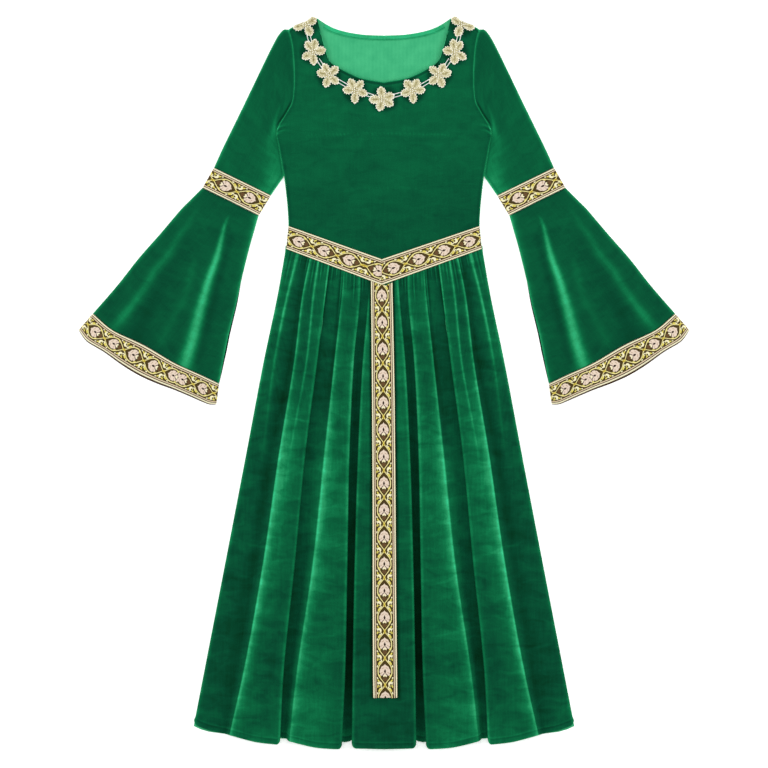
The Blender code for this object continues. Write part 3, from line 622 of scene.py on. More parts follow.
def tube(plan, crown, under_plan=None, peep=None, wall=1.0, fold=FOLD_RADIUS):
    """Close a flattened tube of cloth that lies on the table. Crown is the height of its upper side, and
    peep is how far its under layer shows past its last column. Gives points, faces, the plan point that
    each point stands for, 1 for the faces inside it, and 1 for the points of the peeping strip."""
    under_plan = (plan if under_plan is None else under_plan).copy()
    middle = (2 * VELVET + SEAM) / 2
    from_edge = np.minimum(distance_along(plan - plan[:, :1]), distance_along(plan - plan[:, -1:]))
    bulge = np.sqrt(1 - (1 - np.minimum(from_edge / fold, 1.0)) ** 2)
    top = middle + (crown - middle) * bulge
    bottom = middle * (1 - bulge)
    if peep is not None:
        outward = unit(plan[:, -1] - plan[:, -1 - PAST_EDGE])
        for column, share, height in PEEP_COLUMNS:
            reached = plan[:, -1] + outward * (peep * share)[:, None]
            under_plan[:, column] = np.where((peep > LEAST)[:, None], reached, plan[:, column])
            bottom[:, column] = np.where(peep > LEAST, height * middle, bottom[:, column])
    inner_top = np.maximum(top - wall, middle + LEAST)
    inner_bottom = np.minimum(bottom + wall, middle - LEAST)
    inner_plan = plan.copy()
    for edge, beside in ((0, PAST_EDGE), (-1, -1 - PAST_EDGE)):
        inner_plan[:, edge] += unit(plan[:, beside] - plan[:, edge]) * wall
    outer = np.concatenate((space(plan[..., 0], plan[..., 1], top),
                            space(under_plan[..., 0], under_plan[..., 1], bottom)[:, -2:0:-1]), axis=1)
    inner = np.concatenate((space(inner_plan[..., 0], inner_plan[..., 1], inner_top),
                            space(inner_plan[..., 0], inner_plan[..., 1], inner_bottom)[:, -2:0:-1]), axis=1)
    rows, around = outer.shape[:2]
    number = np.arange(rows * around).reshape(rows, around)
    following = np.roll(number, -1, axis=1)
    corners = (number[:-1], number[1:], following[1:], following[:-1])
    outer_faces = np.stack(corners, axis=-1).reshape(-1, 4)
    inner_faces = np.stack([c + rows * around for c in corners[::-1]], axis=-1).reshape(-1, 4)
    ends = []
    for row, flip in ((0, 1), (-1, -1)):
        mouth = (number[row], following[row], following[row] + rows * around, number[row] + rows * around)
        ends.append(np.stack(mouth[::flip], axis=-1))
    points = np.concatenate((outer.reshape(-1, 3), inner.reshape(-1, 3)))
    columns = plan.shape[1]
    place = np.concatenate((np.arange(columns), np.arange(columns)[-2:0:-1]))
    source = (np.arange(rows)[:, None] * columns + place).ravel()
    faces = np.concatenate([outer_faces, inner_faces] + ends)
    inside = np.repeat((0, 1, 0), (len(outer_faces), len(inner_faces), 2 * around))
    strip = np.zeros((rows, around))
    if peep is not None:
        strip[:, columns:columns + len(PEEP_COLUMNS)] = (peep > LEAST)[:, None]
    return points, faces, np.tile(source, 2), inside, np.tile(strip.ravel(), 2)


def tube_crown(places, rise):
    """Height of a flat tube's upper surface: two walls and the gap at its edges, puffed up between them."""
    return 2 * VELVET + SEAM + rise * np.sin(math.pi * places) ** TUBE_ROUNDNESS


def cloth_map(plan, points, source):
    """UV map of a tube's cloth in metres, across it and along it."""
    across = distance_along(plan - plan[:, :1])
    step = np.diff(plan[:, plan.shape[1] // 2], axis=0)
    along = np.concatenate(([0.0], np.cumsum(distance_along(step))))
    uv = np.stack(np.broadcast_arrays(across, along[:, None]), axis=-1)
    return uv.reshape(-1, 2)[source] * MM


def make_pair(name, points, faces, materials, node, slot="green_velvet", values=None, uv=None, sides=None,
              **cut):
    """Make a left piece and its right twin."""
    for side, mirror in (("left", 1.0), ("right", -1.0)):
        corners = faces if mirror > 0 else faces[:, ::-1]
        piece = make_piece(f"{name}_{side}", points * np.array([mirror, 1.0, 1.0]), corners, materials,
                           [f"{node}_{side}"], values, uv, sides)


def make_upper_sleeves():
    """Both upper sleeves, from the armhole seam to the armband."""
    stations = np.linspace(ARMHOLE["down"][0], UPPER_UNDERARM["down"][-1], 120)
    seam = shift(np.stack((edge_out(stations), stations), axis=1), ARMHOLE_OVERLAP)
    corner = int(np.searchsorted(stations, ARMHOLE_CORNER))
    elbow = np.stack((UPPER_UNDERARM["out"][::-1], UPPER_UNDERARM["down"][::-1]), axis=1)
    armhole = even(seam[:corner + 1], ACROSS)
    inner = even(np.concatenate((seam[corner:-1], elbow)), UPPER_ROWS)
    outer = even(line_of(UPPER_OUTER), UPPER_ROWS)
    outer[0] = armhole[0]
    along = np.linspace(0.0, 1.0, UPPER_ROWS + 1)
    plan = patch(armhole, even(line_of(ARMBAND_TOP), ACROSS), outer, inner, ACROSS, along)
    parts = along[:, None]
    rise = UPPER_RISE * ease(parts / UPPER_RISE_WITHIN) * (1.0 - (1.0 - UPPER_RISE_KEPT) * parts)
    crown = tube_crown(ACROSS, rise)
    nap = np.full_like(crown, UPPER_NAP)
    add_marks(plan[..., 0], plan[..., 1], crown, nap, UPPER_MARKS)
    nap += edge_lines(distance_along(plan - plan[:, :1]), UPPER_OUTER_SHADE)
    nap -= 0.05 * near(plan[..., 1] - 60, 40)
    nap += edge_lines(distance_along(plan - plan[:1]), UPPER_ARMHOLE_SHADE)
    nap += edge_lines(distance_along(plan - plan[:, -1:]), UPPER_INNER_SHADE)
    points, faces, source, sides, _ = tube(plan, crown)
    make_pair("upper_sleeve_velvet", points, faces, [smooth_velvet, knit_back], "upper_sleeve",
              values=nap.ravel()[source], uv=cloth_map(plan, points, source), sides=sides,
              flat=(0.215, 0.215), area=0.031)


make_upper_sleeves()


# Armbands
# A length of woven jacquard ribbon, 33 mm wide, sewn flat round each sleeve over the seam to the bell.
# Its traditional repeat is an ogee lattice with a small palmette in each mesh and scrolls between them.
RIBBON = 1.0
RIBBON_HALF = 16.5
BAND_PROUD = 0.6
REPEAT = 36.65
ARMBAND_FIRST_CROSSING = 9.6
ARMBAND_RISE = 1.4
GROUND = "#433410"
DEEP_BROWN = "#2a1a0c"
MID_BROWN = "#5f4526"
PINK_CREAM = "#dcc9b6"
CREAM = "#ece5ba"
PALE_YELLOW = "#dccf62"
GOLD = "#b0981e"
TAN = "#a98c72"
# The chart of one repeat, for half the ribbon's width: along is a distance from the lattice's crossing,
# and each other column gives how far from the middle line a shape reaches there
CHART = table("along lattice palmette diamond drop",
              (-18.3, 9.2, 7.2, 0.0, 1.5),
              (-17.2, 9.2, 7.3, 0.0, 1.3),
              (-16.2, 9.2, 7.1, 0.0, 0.7),
              (-14.9, 9.0, 6.2, 0.0, 0.0),
              (-13.6, 8.7, 6.6, 0.0, 0.0),
              (-12.4, 8.3, 6.0, 0.0, 0.0),
              (-11.0, 7.6, 0.0, 0.0, 0.0),
              (-9.6, 6.8, 0.0, 1.2, 0.0),
              (-7.6, 5.4, 0.0, 3.2, 0.0),
              (-5.6, 4.0, 0.0, 1.9, 0.0),
              (-3.6, 2.5, 0.0, 0.0, 0.0),
              (0.0, 0.7, 0.0, 0.0, 0.0),
              (3.0, 1.6, 0.0, 0.0, 0.0),
              (5.2, 3.1, 0.0, 0.0, 0.0),
              (7.6, 5.1, 0.0, 0.0, 0.0),
              (9.4, 6.5, 0.6, 0.0, 0.0),
              (11.2, 7.6, 2.9, 0.0, 0.0),
              (13.2, 8.5, 5.2, 0.0, 0.0),
              (14.4, 8.8, 5.4, 0.0, 0.0),
              (16.2, 9.1, 6.8, 0.0, 0.6),
              (18.3, 9.2, 7.2, 0.0, 1.5))
CHART_REACH = 10.0
LATTICE_HALF = 0.65
LATTICE_YELLOW = "#e8dd96"
# Width of the ground kept outside the lattice's line, and how far inside its curve a shape's colour stops
LATTICE_OUTLINE = 0.45
SHAPE_INSET = 0.08
# Small rounded figures, by their place, size and tilt: those between the meshes of the lattice,
# then those on the palmette and the crossing
SCROLLS = ((-0.8, 7.0, 3.4, 2.8, -15, CREAM), (0.8, 7.6, 1.9, 1.3, -20, GROUND),
           (4.6, 5.6, 2.4, 1.7, 20, CREAM), (3.6, 6.2, 1.2, 0.9, 0, GROUND),
           (2.0, 7.6, 0.9, 0.7, 0, PALE_YELLOW), (7.6, 7.4, 2.7, 1.3, 30, PALE_YELLOW),
           (-5.2, 8.7, 2.0, 1.0, -30, PALE_YELLOW),
           (2.6, 9.7, 1.9, 0.8, 10, PALE_YELLOW), (-8.8, 10.0, 1.5, 0.8, -25, CREAM),
           (11.8, 10.0, 1.6, 0.8, 15, CREAM), (-2.6, 10.2, 1.3, 0.5, 0, CREAM))
FLOURISHES = ((-13.6, 2.4, 3.0, 0.5, 41, DEEP_BROWN), (-11.8, 1.2, 1.7, 0.9, 35, CREAM),
              (-12.0, 6.9, 2.3, 0.6, -35, PALE_YELLOW), (-16.0, 4.4, 1.8, 0.4, 60, TAN),
              (14.4, 2.6, 2.2, 0.4, 55, TAN), (0.8, 0.0, 3.2, 1.3, 0, GOLD),
              (0.0, 0.0, 1.1, 0.7, 0, PALE_YELLOW))
# Stripes along each edge, by their distance from the middle line
STRIPES = ((10.9, "#3a2a12"), (11.7, "#dbc6a4"), (12.9, "#382214"), (14.1, "#e6e0bc"), (15.9, "#44301a"))
STRIPES_REACH = 20.0


def lay_colour(material, where, colour, under):
    """Lay a colour over what is under it, where a mask is 1."""
    return add_node(material, "Mix", {0: where, 6: under, 7: colour}, data_type="RGBA").outputs[2]


def lay_figures(material, place, figures, colour):
    """Lay rounded figures, each an ellipse at its place, size and tilt."""
    for u, v, half_u, half_v, tilt, code in figures:
        own = add_node(material, "Mapping", {"Vector": place, "Location": (u, v, 0),
                                             "Rotation": (0, 0, math.radians(tilt)),
                                             "Scale": (half_u, half_v, 1)}, vector_type="TEXTURE")
        far = add_node(material, "VectorMath", {0: own}, operation="LENGTH").outputs["Value"]
        inside = add_node(material, "Math", {0: far, 1: 1.0}, operation="LESS_THAN")
        colour = lay_colour(material, inside, linear(code), colour)
    return colour


def chart_curve(material, along, column):
    """How far from the middle line a shape of the chart reaches, at each place along the repeat."""
    node = add_node(material, "FloatCurve", {"Value": along})
    points = node.mapping.curves[0].points
    places = CHART["along"] / REPEAT + 0.5
    reaches = CHART[column] / CHART_REACH
    points[0].location = (places[0], reaches[0])
    points[1].location = (places[-1], reaches[-1])
    for place, reach in zip(places[1:-1], reaches[1:-1]):
        points.new(place, reach)
    for point in points:
        point.handle_type = "AUTO_CLAMPED"
    node.mapping.update()
    return add_node(material, "Math", {0: node, 1: CHART_REACH}, operation="MULTIPLY")


def make_jacquard():
    """Woven ribbon: the chart's colours, and threads across it raised as fine ribs."""
    material, surface = new_material("jacquard_ribbon", CREAM, 0.7, Specular_IOR_Level=0.15)
    parts = add_node(material, "SeparateXYZ", {0: add_node(material, "UVMap", uv_map="along_and_across")})
    along = add_node(material, "Math", {0: parts.outputs[0]}, operation="FRACT")
    from_crossing = add_node(material, "Math", {0: along, 1: REPEAT, 2: -REPEAT / 2},
                             operation="MULTIPLY_ADD")
    across = add_node(material, "Math", {0: parts.outputs[1], 1: RIBBON_HALF}, operation="MULTIPLY")
    reach = add_node(material, "Math", {0: across}, operation="ABSOLUTE")
    place = add_node(material, "CombineXYZ", {0: from_crossing, 1: reach})
    ground = add_node(material, "RGB").outputs[0]
    ground.default_value = linear(GROUND)

    colour = lay_figures(material, place, SCROLLS, ground)
    lattice = chart_curve(material, along, "lattice")
    outlined = add_node(material, "Math", {0: lattice, 1: LATTICE_HALF + LATTICE_OUTLINE}, operation="ADD")
    inside = add_node(material, "Math", {0: reach, 1: outlined}, operation="LESS_THAN")
    colour = lay_colour(material, inside, linear(GROUND), colour)
    on_line = add_node(material, "Math", {0: reach, 1: lattice, 2: LATTICE_HALF}, operation="COMPARE")
    colour = lay_colour(material, on_line, linear(LATTICE_YELLOW), colour)
    for column, code in (("palmette", PINK_CREAM), ("diamond", MID_BROWN), ("drop", DEEP_BROWN)):
        edge = chart_curve(material, along, column)
        short = add_node(material, "Math", {0: edge, 1: SHAPE_INSET}, operation="SUBTRACT")
        inside = add_node(material, "Math", {0: reach, 1: short}, operation="LESS_THAN")
        colour = lay_colour(material, inside, linear(code), colour)
    colour = lay_figures(material, place, FLOURISHES, colour)
    part_out = add_node(material, "Math", {0: reach, 1: STRIPES_REACH}, operation="DIVIDE")
    stripes = add_node(material, "ValToRGB", {"Fac": part_out})
    stripes.color_ramp.interpolation = "CONSTANT"
    stripes.color_ramp.elements[1].color = linear(STRIPES[-1][1])
    for distance, code in STRIPES:
        stripes.color_ramp.elements.new(distance / STRIPES_REACH).color = linear(code)
    in_stripes = add_node(material, "Math", {0: reach, 1: STRIPES[0][0]}, operation="GREATER_THAN")
    colour = lay_colour(material, in_stripes, stripes.outputs["Color"], colour)

    ribbon_length = add_node(material, "CombineXYZ", {0: parts.outputs[0]})
    threads = add_node(material, "TexWave", {"Vector": ribbon_length, "Scale": 16.0, "Distortion": 0.4},
                       bands_direction="X")
    yarn = add_node(material, "TexNoise", {"Vector": place, "Scale": 1.4, "Detail": 3.0})
    shade = add_node(material, "Math", {0: threads, 1: yarn}, operation="ADD")
    light = add_node(material, "MapRange", {"Value": shade, "From Max": 2.0, "To Min": 0.78, "To Max": 1.10})
    shaded = add_node(material, "VectorMath", {0: colour, 1: light}, operation="MULTIPLY")
    return finish(material, surface, shaded.outputs[0], threads, 0.35, 0.0003)


jacquard = make_jacquard()
# Parts of the way across a ribbon at which its mesh has lines, with a fine one along each selvedge
RIBBON_LINES = np.array((0.0, 0.012, 0.08, 0.2, 0.35, 0.5, 0.65, 0.8, 0.92, 0.988, 1.0))


def ribbon_round(points, rows, repeat, first_crossing):
    """UV map of a ribbon round a flat tube: repeats along it from the outer edge, and its place across.
    A repeat below zero turns the ribbon end for end."""
    outer = points[:len(points) // 2].reshape(rows, -1, 3)
    steps = distance_along(np.diff(outer[rows // 2], axis=0))
    along = np.concatenate(([0.0], np.cumsum(steps)))
    across = RIBBON_LINES * 2 - 1
    uv = np.stack(np.broadcast_arrays((along - first_crossing) / repeat + 0.5, across[:, None]), axis=-1)
    return np.tile(uv.reshape(-1, 2), (2, 1))


def ribbon_laid(repeats, across, source):
    """UV map of a ribbon laid flat: repeats along it, and its place across."""
    return np.stack(np.broadcast_arrays(repeats, across), axis=-1).reshape(-1, 2)[source]


def band_between(top_edge, bottom_edge):
    """Plan of a ribbon sewn round a flat tube, a seam's gap inside two edges, and the way across it."""
    top = even(line_of(top_edge), ACROSS)
    bottom = even(line_of(bottom_edge), ACROSS)
    downwards = unit(bottom - top)
    lines = RIBBON_LINES[:, None, None]
    return (1 - lines) * (top + downwards * SEAM) + lines * (bottom - downwards * SEAM), downwards


def make_armbands():
    """Both armbands, just proud of the sleeve."""
    plan, _ = band_between(ARMBAND_TOP, ARMBAND_BOTTOM)
    crown = np.broadcast_to(tube_crown(ACROSS, ARMBAND_RISE) + BAND_PROUD, plan.shape[:2])
    points, faces, _, _, _ = tube(plan, crown)
    uv = ribbon_round(points, len(RIBBON_LINES), -REPEAT, ARMBAND_FIRST_CROSSING)
    make_pair("armband_ribbon", points, faces, [jacquard], "armband", "jacquard_ribbon", uv=uv,
              flat=(0.176, 0.033))


make_armbands()


# Bell sleeves
# One flared piece of velvet each, from the armband to the cuff, lying as a wide flat tube. Its fulness
# stands up in long soft ridges that fan out towards the cuff. Its under layer peeps out at the inner edge.
BELL_OUTER = table("out down", (249, 232), (265, 248), (279, 262), (307, 295), (336, 328), (366, 366),
                   (399, 404))
BELL_INNER = table("out down", (172, 270), (178, 291), (184, 312), (194, 352), (203, 393), (213, 433),
                   (221, 473), (226, 500))
CUFF_TOP = table("out down", (399, 404), (371, 427), (329, 447), (288, 471), (253, 487), (226, 500))
BELL_ROWS = 96
BELL_RISE = 1.4
BELL_NAP = 0.74
RIDGE_ROUNDNESS = 0.5
# Ridges: place across the bell from its outer edge (0) to its inner edge (1), half width and height
BELL_RIDGES = table("place_at_armband place_at_cuff half_width rise_at_armband rise_at_cuff",
                    (0.49, 0.77, 0.10, 2.0, 9.0),
                    (0.30, 0.23, 0.11, 0.5, 8.0))
# Painted streaks of sheen on the ridges, and painted shade in the hollows between them
BELL_MARKS = (
    marks((212, 269, 1.4, 0.0, 0.0), (218, 283, 2.6, 0.4, 0.50),
          (223, 303, 3.6, 0.6, 0.80), (228, 324, 4.4, 0.8, 0.92), (235, 344, 5.0, 0.8, 0.96),
          (242, 365, 5.6, 0.8, 0.92), (248, 386, 6.4, 0.8, 0.90), (255, 413, 7.4, 0.7, 0.84),
          (262, 441, 8.2, 0.6, 0.86), (268, 461, 9.0, 0.4, 0.88), (272, 473, 9.6, 0.2, 0.76)),
    marks((208, 295, 4.0, 0.0, -0.05), (222, 344, 5.0, -0.2, -0.11),
          (233, 386, 6.0, -0.2, -0.12), (249, 440, 7.0, -0.2, -0.12), (257, 470, 7.0, 0.0, -0.10)),
    marks((253, 256, 4.0, 0.0, 0.0), (269, 282, 4.5, 0.3, 0.18),
          (284, 303, 5.0, 0.4, 0.18), (296, 324, 5.5, 0.5, 0.24), (313, 344, 6.0, 0.5, 0.31),
          (325, 365, 6.0, 0.4, 0.31), (340, 386, 6.5, 0.3, 0.40), (360, 412, 7.0, 0.2, 0.38),
          (369, 423, 7.0, 0.0, 0.28)),
    marks((262, 295, 6.0, 0.0, 0.0), (291, 344, 9.0, -0.2, -0.06),
          (307, 372, 10.0, -0.2, -0.08), (325, 404, 11.0, -0.2, -0.10), (341, 438, 12.0, 0.0, -0.12)),
    marks((256, 326, 5.0, 0.0, 0.0), (263, 344, 5.5, 0.2, 0.14),
          (274, 385, 6.0, 0.3, 0.13), (290, 413, 7.0, 0.3, 0.13), (304, 441, 8.0, 0.0, 0.15)))
PEEP = table("along reach", (0.0, 0.0), (0.40, 0.0), (0.50, 1.0), (0.62, 1.5), (0.80, 1.9), (0.93, 1.0),
             (1.0, 0.0))
# The under layer that peeps past the inner edge is painted dark, as in the shade of the layer above it
PEEP_PAINTED_SHADE = 0.22
# Painted highlights along the outer and inner folds, painted shade just below the armband, and a painted
# glow along the inner edge
BELL_OUTER_SHADE = ((0.0, 3.2, 0.50),)
BELL_BAND_SHADE = ((0.0, 2.2, -0.16),)
BELL_INNER_SHADE = ((0.0, 2.4, 0.50),)
BELL_INNER_GLOW = ((0.0, 8.0, 1.0),)


def bell_crown(places, part):
    """Height of a bell's upper surface, with its ridges, at a part of the way from armband to cuff."""
    height = tube_crown(places, BELL_RISE)
    for k in range(len(BELL_RIDGES["half_width"])):
        ridge = {name: values[k] for name, values in BELL_RIDGES.items()}
        centre = ridge["place_at_armband"] + (ridge["place_at_cuff"] - ridge["place_at_armband"]) * part
        rise = ridge["rise_at_armband"] + (ridge["rise_at_cuff"] - ridge["rise_at_armband"]) * ease(part)
        at_edges = np.sin(math.pi * places) ** RIDGE_ROUNDNESS
        height = height + rise * at_edges * np.exp(-((places - centre) / ridge["half_width"]) ** 2 / 2)
    return height


def make_bell_sleeves():
    """Both bell sleeves."""
    along = np.linspace(0.0, 1.0, BELL_ROWS + 1)
    plan = patch(even(line_of(ARMBAND_BOTTOM), ACROSS), even(line_of(CUFF_TOP), ACROSS),
                 even(line_of(BELL_OUTER), BELL_ROWS), even(line_of(BELL_INNER), BELL_ROWS), ACROSS, along)
    crown = np.stack([bell_crown(ACROSS, part) for part in along])
    nap = np.full_like(crown, BELL_NAP) + 0.06 * (1 - along[:, None])
    add_marks(plan[..., 0], plan[..., 1], crown, nap, BELL_MARKS)
    from_inner = distance_along(plan - plan[:, -1:])
    glow = (0.16 + 0.20 * near(along, 0.2))[:, None]
    nap += edge_lines(distance_along(plan - plan[:, :1]), BELL_OUTER_SHADE)
    nap += edge_lines(distance_along(plan - plan[:1]), BELL_BAND_SHADE)
    nap += edge_lines(from_inner, BELL_INNER_SHADE) + glow * edge_lines(from_inner, BELL_INNER_GLOW)
    peep = np.interp(along, PEEP["along"], PEEP["reach"])
    points, faces, source, sides, strip = tube(plan, crown, peep=peep)
    values = np.where(strip > 0, PEEP_PAINTED_SHADE, nap.ravel()[source])
    make_pair("bell_sleeve_velvet", points, faces, [smooth_velvet, knit_back], "bell_sleeve",
              values=values, uv=cloth_map(plan, points, source), sides=sides, flat=(0.40, 0.31), area=0.067)


make_bell_sleeves()


# Cuff bands
# The same ribbon sewn round each bell's mouth, eased on so that its repeats lie closer, and the ribbon of
# the under layer shows as a thin second stripe below it.
CUFF_BOTTOM = table("out down", (419, 427), (407, 442), (383, 456), (359, 473), (336, 487), (312, 498),
                    (288, 507), (265, 517), (241, 528), (230, 529))
CUFF_REPEAT = 31.0
CUFF_FIRST_CROSSING = 5.4
# The ribbon's two ends meet at this number of repeats, where part of one is lost
CUFF_JOIN = 5.22
CUFF_JOIN_LOST = 0.45
UNDER_CUFF = 2.2


def make_cuff_bands():
    """Both cuff bands."""
    plan, downwards = band_between(CUFF_TOP, CUFF_BOTTOM)
    lines = RIBBON_LINES[:, None, None]
    under = plan + downwards * UNDER_CUFF * lines * np.sin(math.pi * ACROSS)[None, :, None] ** 0.5
    crown = np.broadcast_to(bell_crown(ACROSS, 1.0) + BAND_PROUD, plan.shape[:2])
    points, faces, _, _, _ = tube(plan, crown, under)
    uv = ribbon_round(points, len(RIBBON_LINES), CUFF_REPEAT, CUFF_FIRST_CROSSING)
    uv[:, 0] -= CUFF_JOIN_LOST * (uv[:, 0] > CUFF_JOIN)
    make_pair("cuff_ribbon", points, faces, [jacquard], "cuff_band", "jacquard_ribbon", uv=uv,
              flat=(0.42, 0.033))


make_cuff_bands()


# Skirt
# One front and one back panel of velvet. The front is gathered at the belt into small ridges, which run
# together into wide folds with sharp edges and dark valleys between. The hem is turned up and stitched.
SKIRT_LEVELS = np.array([317, 372, 468, 592, 743, 908, 991], float)
# turn is 1 where a pleat's edge faces the centre, -1 where it faces the side seam, 0 for a ridge or valley;
# steps is the number of mesh columns to the next row, and hem is how far down the fold ends
FOLDS = table("turn steps hem",
              (0, 7, 968),      # side seam
              (0, 7, 976),      # ridge of the side panel
              (0, 4, 980.5),    # first valley
              (0, 7, 981.5),    # bright ridge
              (0, 8, 991),      # middle of the outer panel
              (1, 5, 994),      # edge of the outer panel
              (0, 4, 986.5),    # second valley
              (0, 6, 990),      # ridge of the inner panel
              (0, 6, 998.5),    # middle of the inner panel
              (1, 3, 1000),     # edge of the inner panel
              (0, 3, 991),      # deep valley
              (-1, 8, 999),     # edge of the centre panel
              (0, 0, 1000))     # centre line
FOLD_OUT = np.array([(135, 144.5, 164.5, 188, 217, 249, 265),
                     (117, 131, 150, 166, 192, 224, 241),
                     (107, 116, 128, 153, 176, 205, 219),
                     (99, 110, 122, 142, 164, 194, 213),
                     (88, 96, 106, 128, 146, 166, 177),
                     (73, 80, 91.5, 107.5, 122, 138.5, 142.5),
                     (60, 65, 74, 96, 107, 129, 136),
                     (54, 57, 67, 80, 96, 120, 129),
                     (42, 44, 54, 64, 73, 87, 94),
                     (33, 33, 41.5, 47.5, 50.5, 54, 58),
                     (26, 27, 35, 40.5, 44.5, 47.5, 48.5),
                     (18, 20, 28.5, 35, 39.5, 42.5, 43.5),
                     (0, 0, 0, 0, 0, 0, 0)], float)
FOLD_RISE = np.array([(0.2, 0.2, 0.2, 0.2, 0.2, 0.2, 0.2),
                      (1.5, 3.0, 4.5, 4.0, 3.5, 3.0, 3.0),
                      (1.0, 1.5, 1.5, 1.0, 0.6, 0.6, 0.6),
                      (1.5, 4.0, 7.0, 9.0, 9.0, 9.0, 8.0),
                      (1.5, 4.0, 6.5, 7.0, 6.0, 5.5, 5.0),
                      (2.0, 4.0, 7.5, 9.5, 10.0, 10.5, 10.5),
                      (1.5, 2.0, 2.5, 1.5, 0.8, 0.8, 0.8),
                      (2.0, 4.5, 8.0, 10.0, 10.0, 9.0, 8.5),
                      (2.0, 4.0, 6.5, 7.5, 7.0, 7.0, 7.0),
                      (2.5, 5.0, 8.5, 11.5, 12.5, 13.0, 13.0),
                      (2.0, 2.5, 1.5, 0.6, 0.3, 0.3, 0.3),
                      (3.0, 5.0, 8.5, 11.5, 12.5, 13.0, 13.0),
                      (3.5, 5.5, 8.5, 11.0, 12.0, 12.5, 12.5)], float)
# Tone of the panels, with painted highlight on the crests' flanks and painted shade in the valleys, by the
# row of FOLDS, at the waist, high up, half way, low and at the hem
SHADE_LEVELS = ("waist", "high", "middle", "low", "hem")
NAP_DOWN = np.array([395, 480, 620, 880, 985], float)
PANEL_TONE_AND_PAINTED_LIGHT = table("fold waist high middle low hem",
                  (0.0, 0.92, 0.85, 0.75, 0.70, 0.80),
                  (1.0, 0.88, 0.85, 0.70, 0.65, 0.75),
                  (2.0, 0.60, 0.55, 0.60, 0.60, 0.65),
                  (2.9, 0.60, 0.60, 0.75, 0.85, 0.80),
                  (3.0, 0.90, 0.90, 1.25, 1.20, 1.05),
                  (3.6, 0.75, 0.75, 1.25, 0.80, 0.90),
                  (4.4, 0.85, 0.80, 1.00, 0.65, 0.85),
                  (5.05, 0.90, 0.85, 0.85, 0.80, 0.85),
                  (5.10, 0.65, 0.55, 0.65, 0.45, 0.60),
                  (6.0, 0.80, 0.65, 0.80, 0.60, 0.80),
                  (6.9, 0.60, 0.45, 1.00, 0.85, 1.00),
                  (7.0, 0.95, 0.95, 1.25, 0.95, 1.00),
                  (8.0, 0.85, 0.80, 1.00, 0.85, 1.00),
                  (9.05, 0.95, 1.00, 1.00, 0.75, 0.75),
                  (9.10, 0.75, 0.65, 0.65, 0.35, 0.75),
                  (10.90, 0.70, 0.60, 0.65, 0.35, 0.75),
                  (10.95, 0.98, 0.95, 0.85, 0.72, 0.75),
                  (12.0, 0.98, 0.95, 0.85, 0.65, 0.70))
# Lines of painted sheen along the crests and edges of the folds: how far each spreads towards the side seam
# and towards the centre, and how much it lifts the shade at the same five levels
CRESTS = table("fold outward inward waist high middle low hem",
               (0.0, 1.0, 3.0, 0.40, 0.50, 0.40, 0.35, 0.45),
               (1.0, 1.2, 2.2, 0.70, 0.25, 0.00, 0.00, 0.00),
               (3.0, 0.8, 2.0, 0.55, 0.45, 0.22, 0.28, 0.20),
               (3.0, 0.1, 6.5, 0.00, 0.05, 0.34, 0.26, 0.20),
               (4.0, 1.2, 1.8, 0.60, 0.45, 0.05, 0.00, 0.00),
               (5.0, 1.8, 1.0, 0.30, 0.30, 0.24, 0.30, 0.40),
               (7.0, 0.9, 2.0, 0.40, 0.35, 0.22, 0.24, 0.15),
               (7.0, 0.1, 7.0, 0.00, 0.05, 0.38, 0.26, 0.20),
               (9.0, 2.0, 1.0, 0.35, 0.50, 0.35, 0.30, 0.20),
               (11.0, 1.0, 1.8, 0.35, 0.35, 0.40, 0.35, 0.35))
# Gathers under the belt: place along the waist seam, how far down each runs, its height and half width
GATHERS = table("out length rise half_width",
                (130, 40, 0.9, 0.8), (124.5, 60, 0.8, 0.9), (118.5, 30, 0.9, 0.8), (112, 24, 0.8, 0.7),
                (103, 34, 0.9, 0.8), (94, 60, 1.0, 0.8), (89, 26, 0.8, 0.7), (84, 40, 0.9, 0.8),
                (79.5, 26, 0.8, 0.7), (75, 105, 1.2, 0.8), (69.5, 34, 0.9, 0.8), (64, 24, 0.8, 0.7),
                (57, 85, 1.3, 0.8), (51, 40, 1.0, 0.8), (46, 26, 0.8, 0.7), (40.5, 50, 1.0, 0.8),
                (29, 30, 0.9, 0.7), (24.5, 22, 0.8, 0.7))
GATHER_SPREAD = 0.003
# A gather fades out over this part of its length, and starts at a part of its height that grows to full
GATHER_FADE = 0.6
GATHER_START = 0.4
GATHER_GROWTH = 6.0
# Painted highlight on the gathers' ridges and painted shade in the hollows beside them
GATHER_SHEEN = 0.36
GATHER_SHADE = 0.34
HOLLOW_WIDTH = 2.3
HOLLOW_DEPTH = 0.5
FINE = 2
GATHERED_ROWS = 43
HANGING_ROWS = 72
GATHERED_PART = 0.2
LEAST_ROW_GAP = 0.0009
SEAM_BLEND = 0.09
TURN_AT_WAIST = -2.0
TURN_BELOW = 4.0
LIP_AT_WAIST = 1.5
LIP_BELOW = 3.5
TURN_FULL_AT = 0.35
PLEAT_EDGE = table("lip foot lower limit up",
                   (1, 0, 0.0, 0.0, 0.0),
                   (0, 0, 0.25, 2.8, 1.0),
                   (0, 1, 0.55, 6.0, 5.0))
# Places among the folds that a pleat's edge takes up before and after its own row, by its turn
EDGE_PLACES = {1: (0.05, 0.15), -1: (0.15, 0.05), 0: (0.0, 0.0)}
BACK_HEM = table("out down", (260, 970), (243, 977), (211, 981), (172, 985), (114, 988), (60, 988), (0, 990))
BACK_ROWS = 60
BACK_COLUMNS = 24
BACK_NAP = 0.8
# The hem's corners are rounded where a pleat's edge or the side seam reaches them
CORNERS = (0.0, 5.05, 9.05, 10.95)
CORNER_RADIUS = 5.5
CORNER_FROM = 0.98
HEM_DEPTH = 7.0
HEM_ROWS = (11.0, 9.6, 8.8, 8.0, 7.2, 6.4, 4.5, 2.6, 1.2)
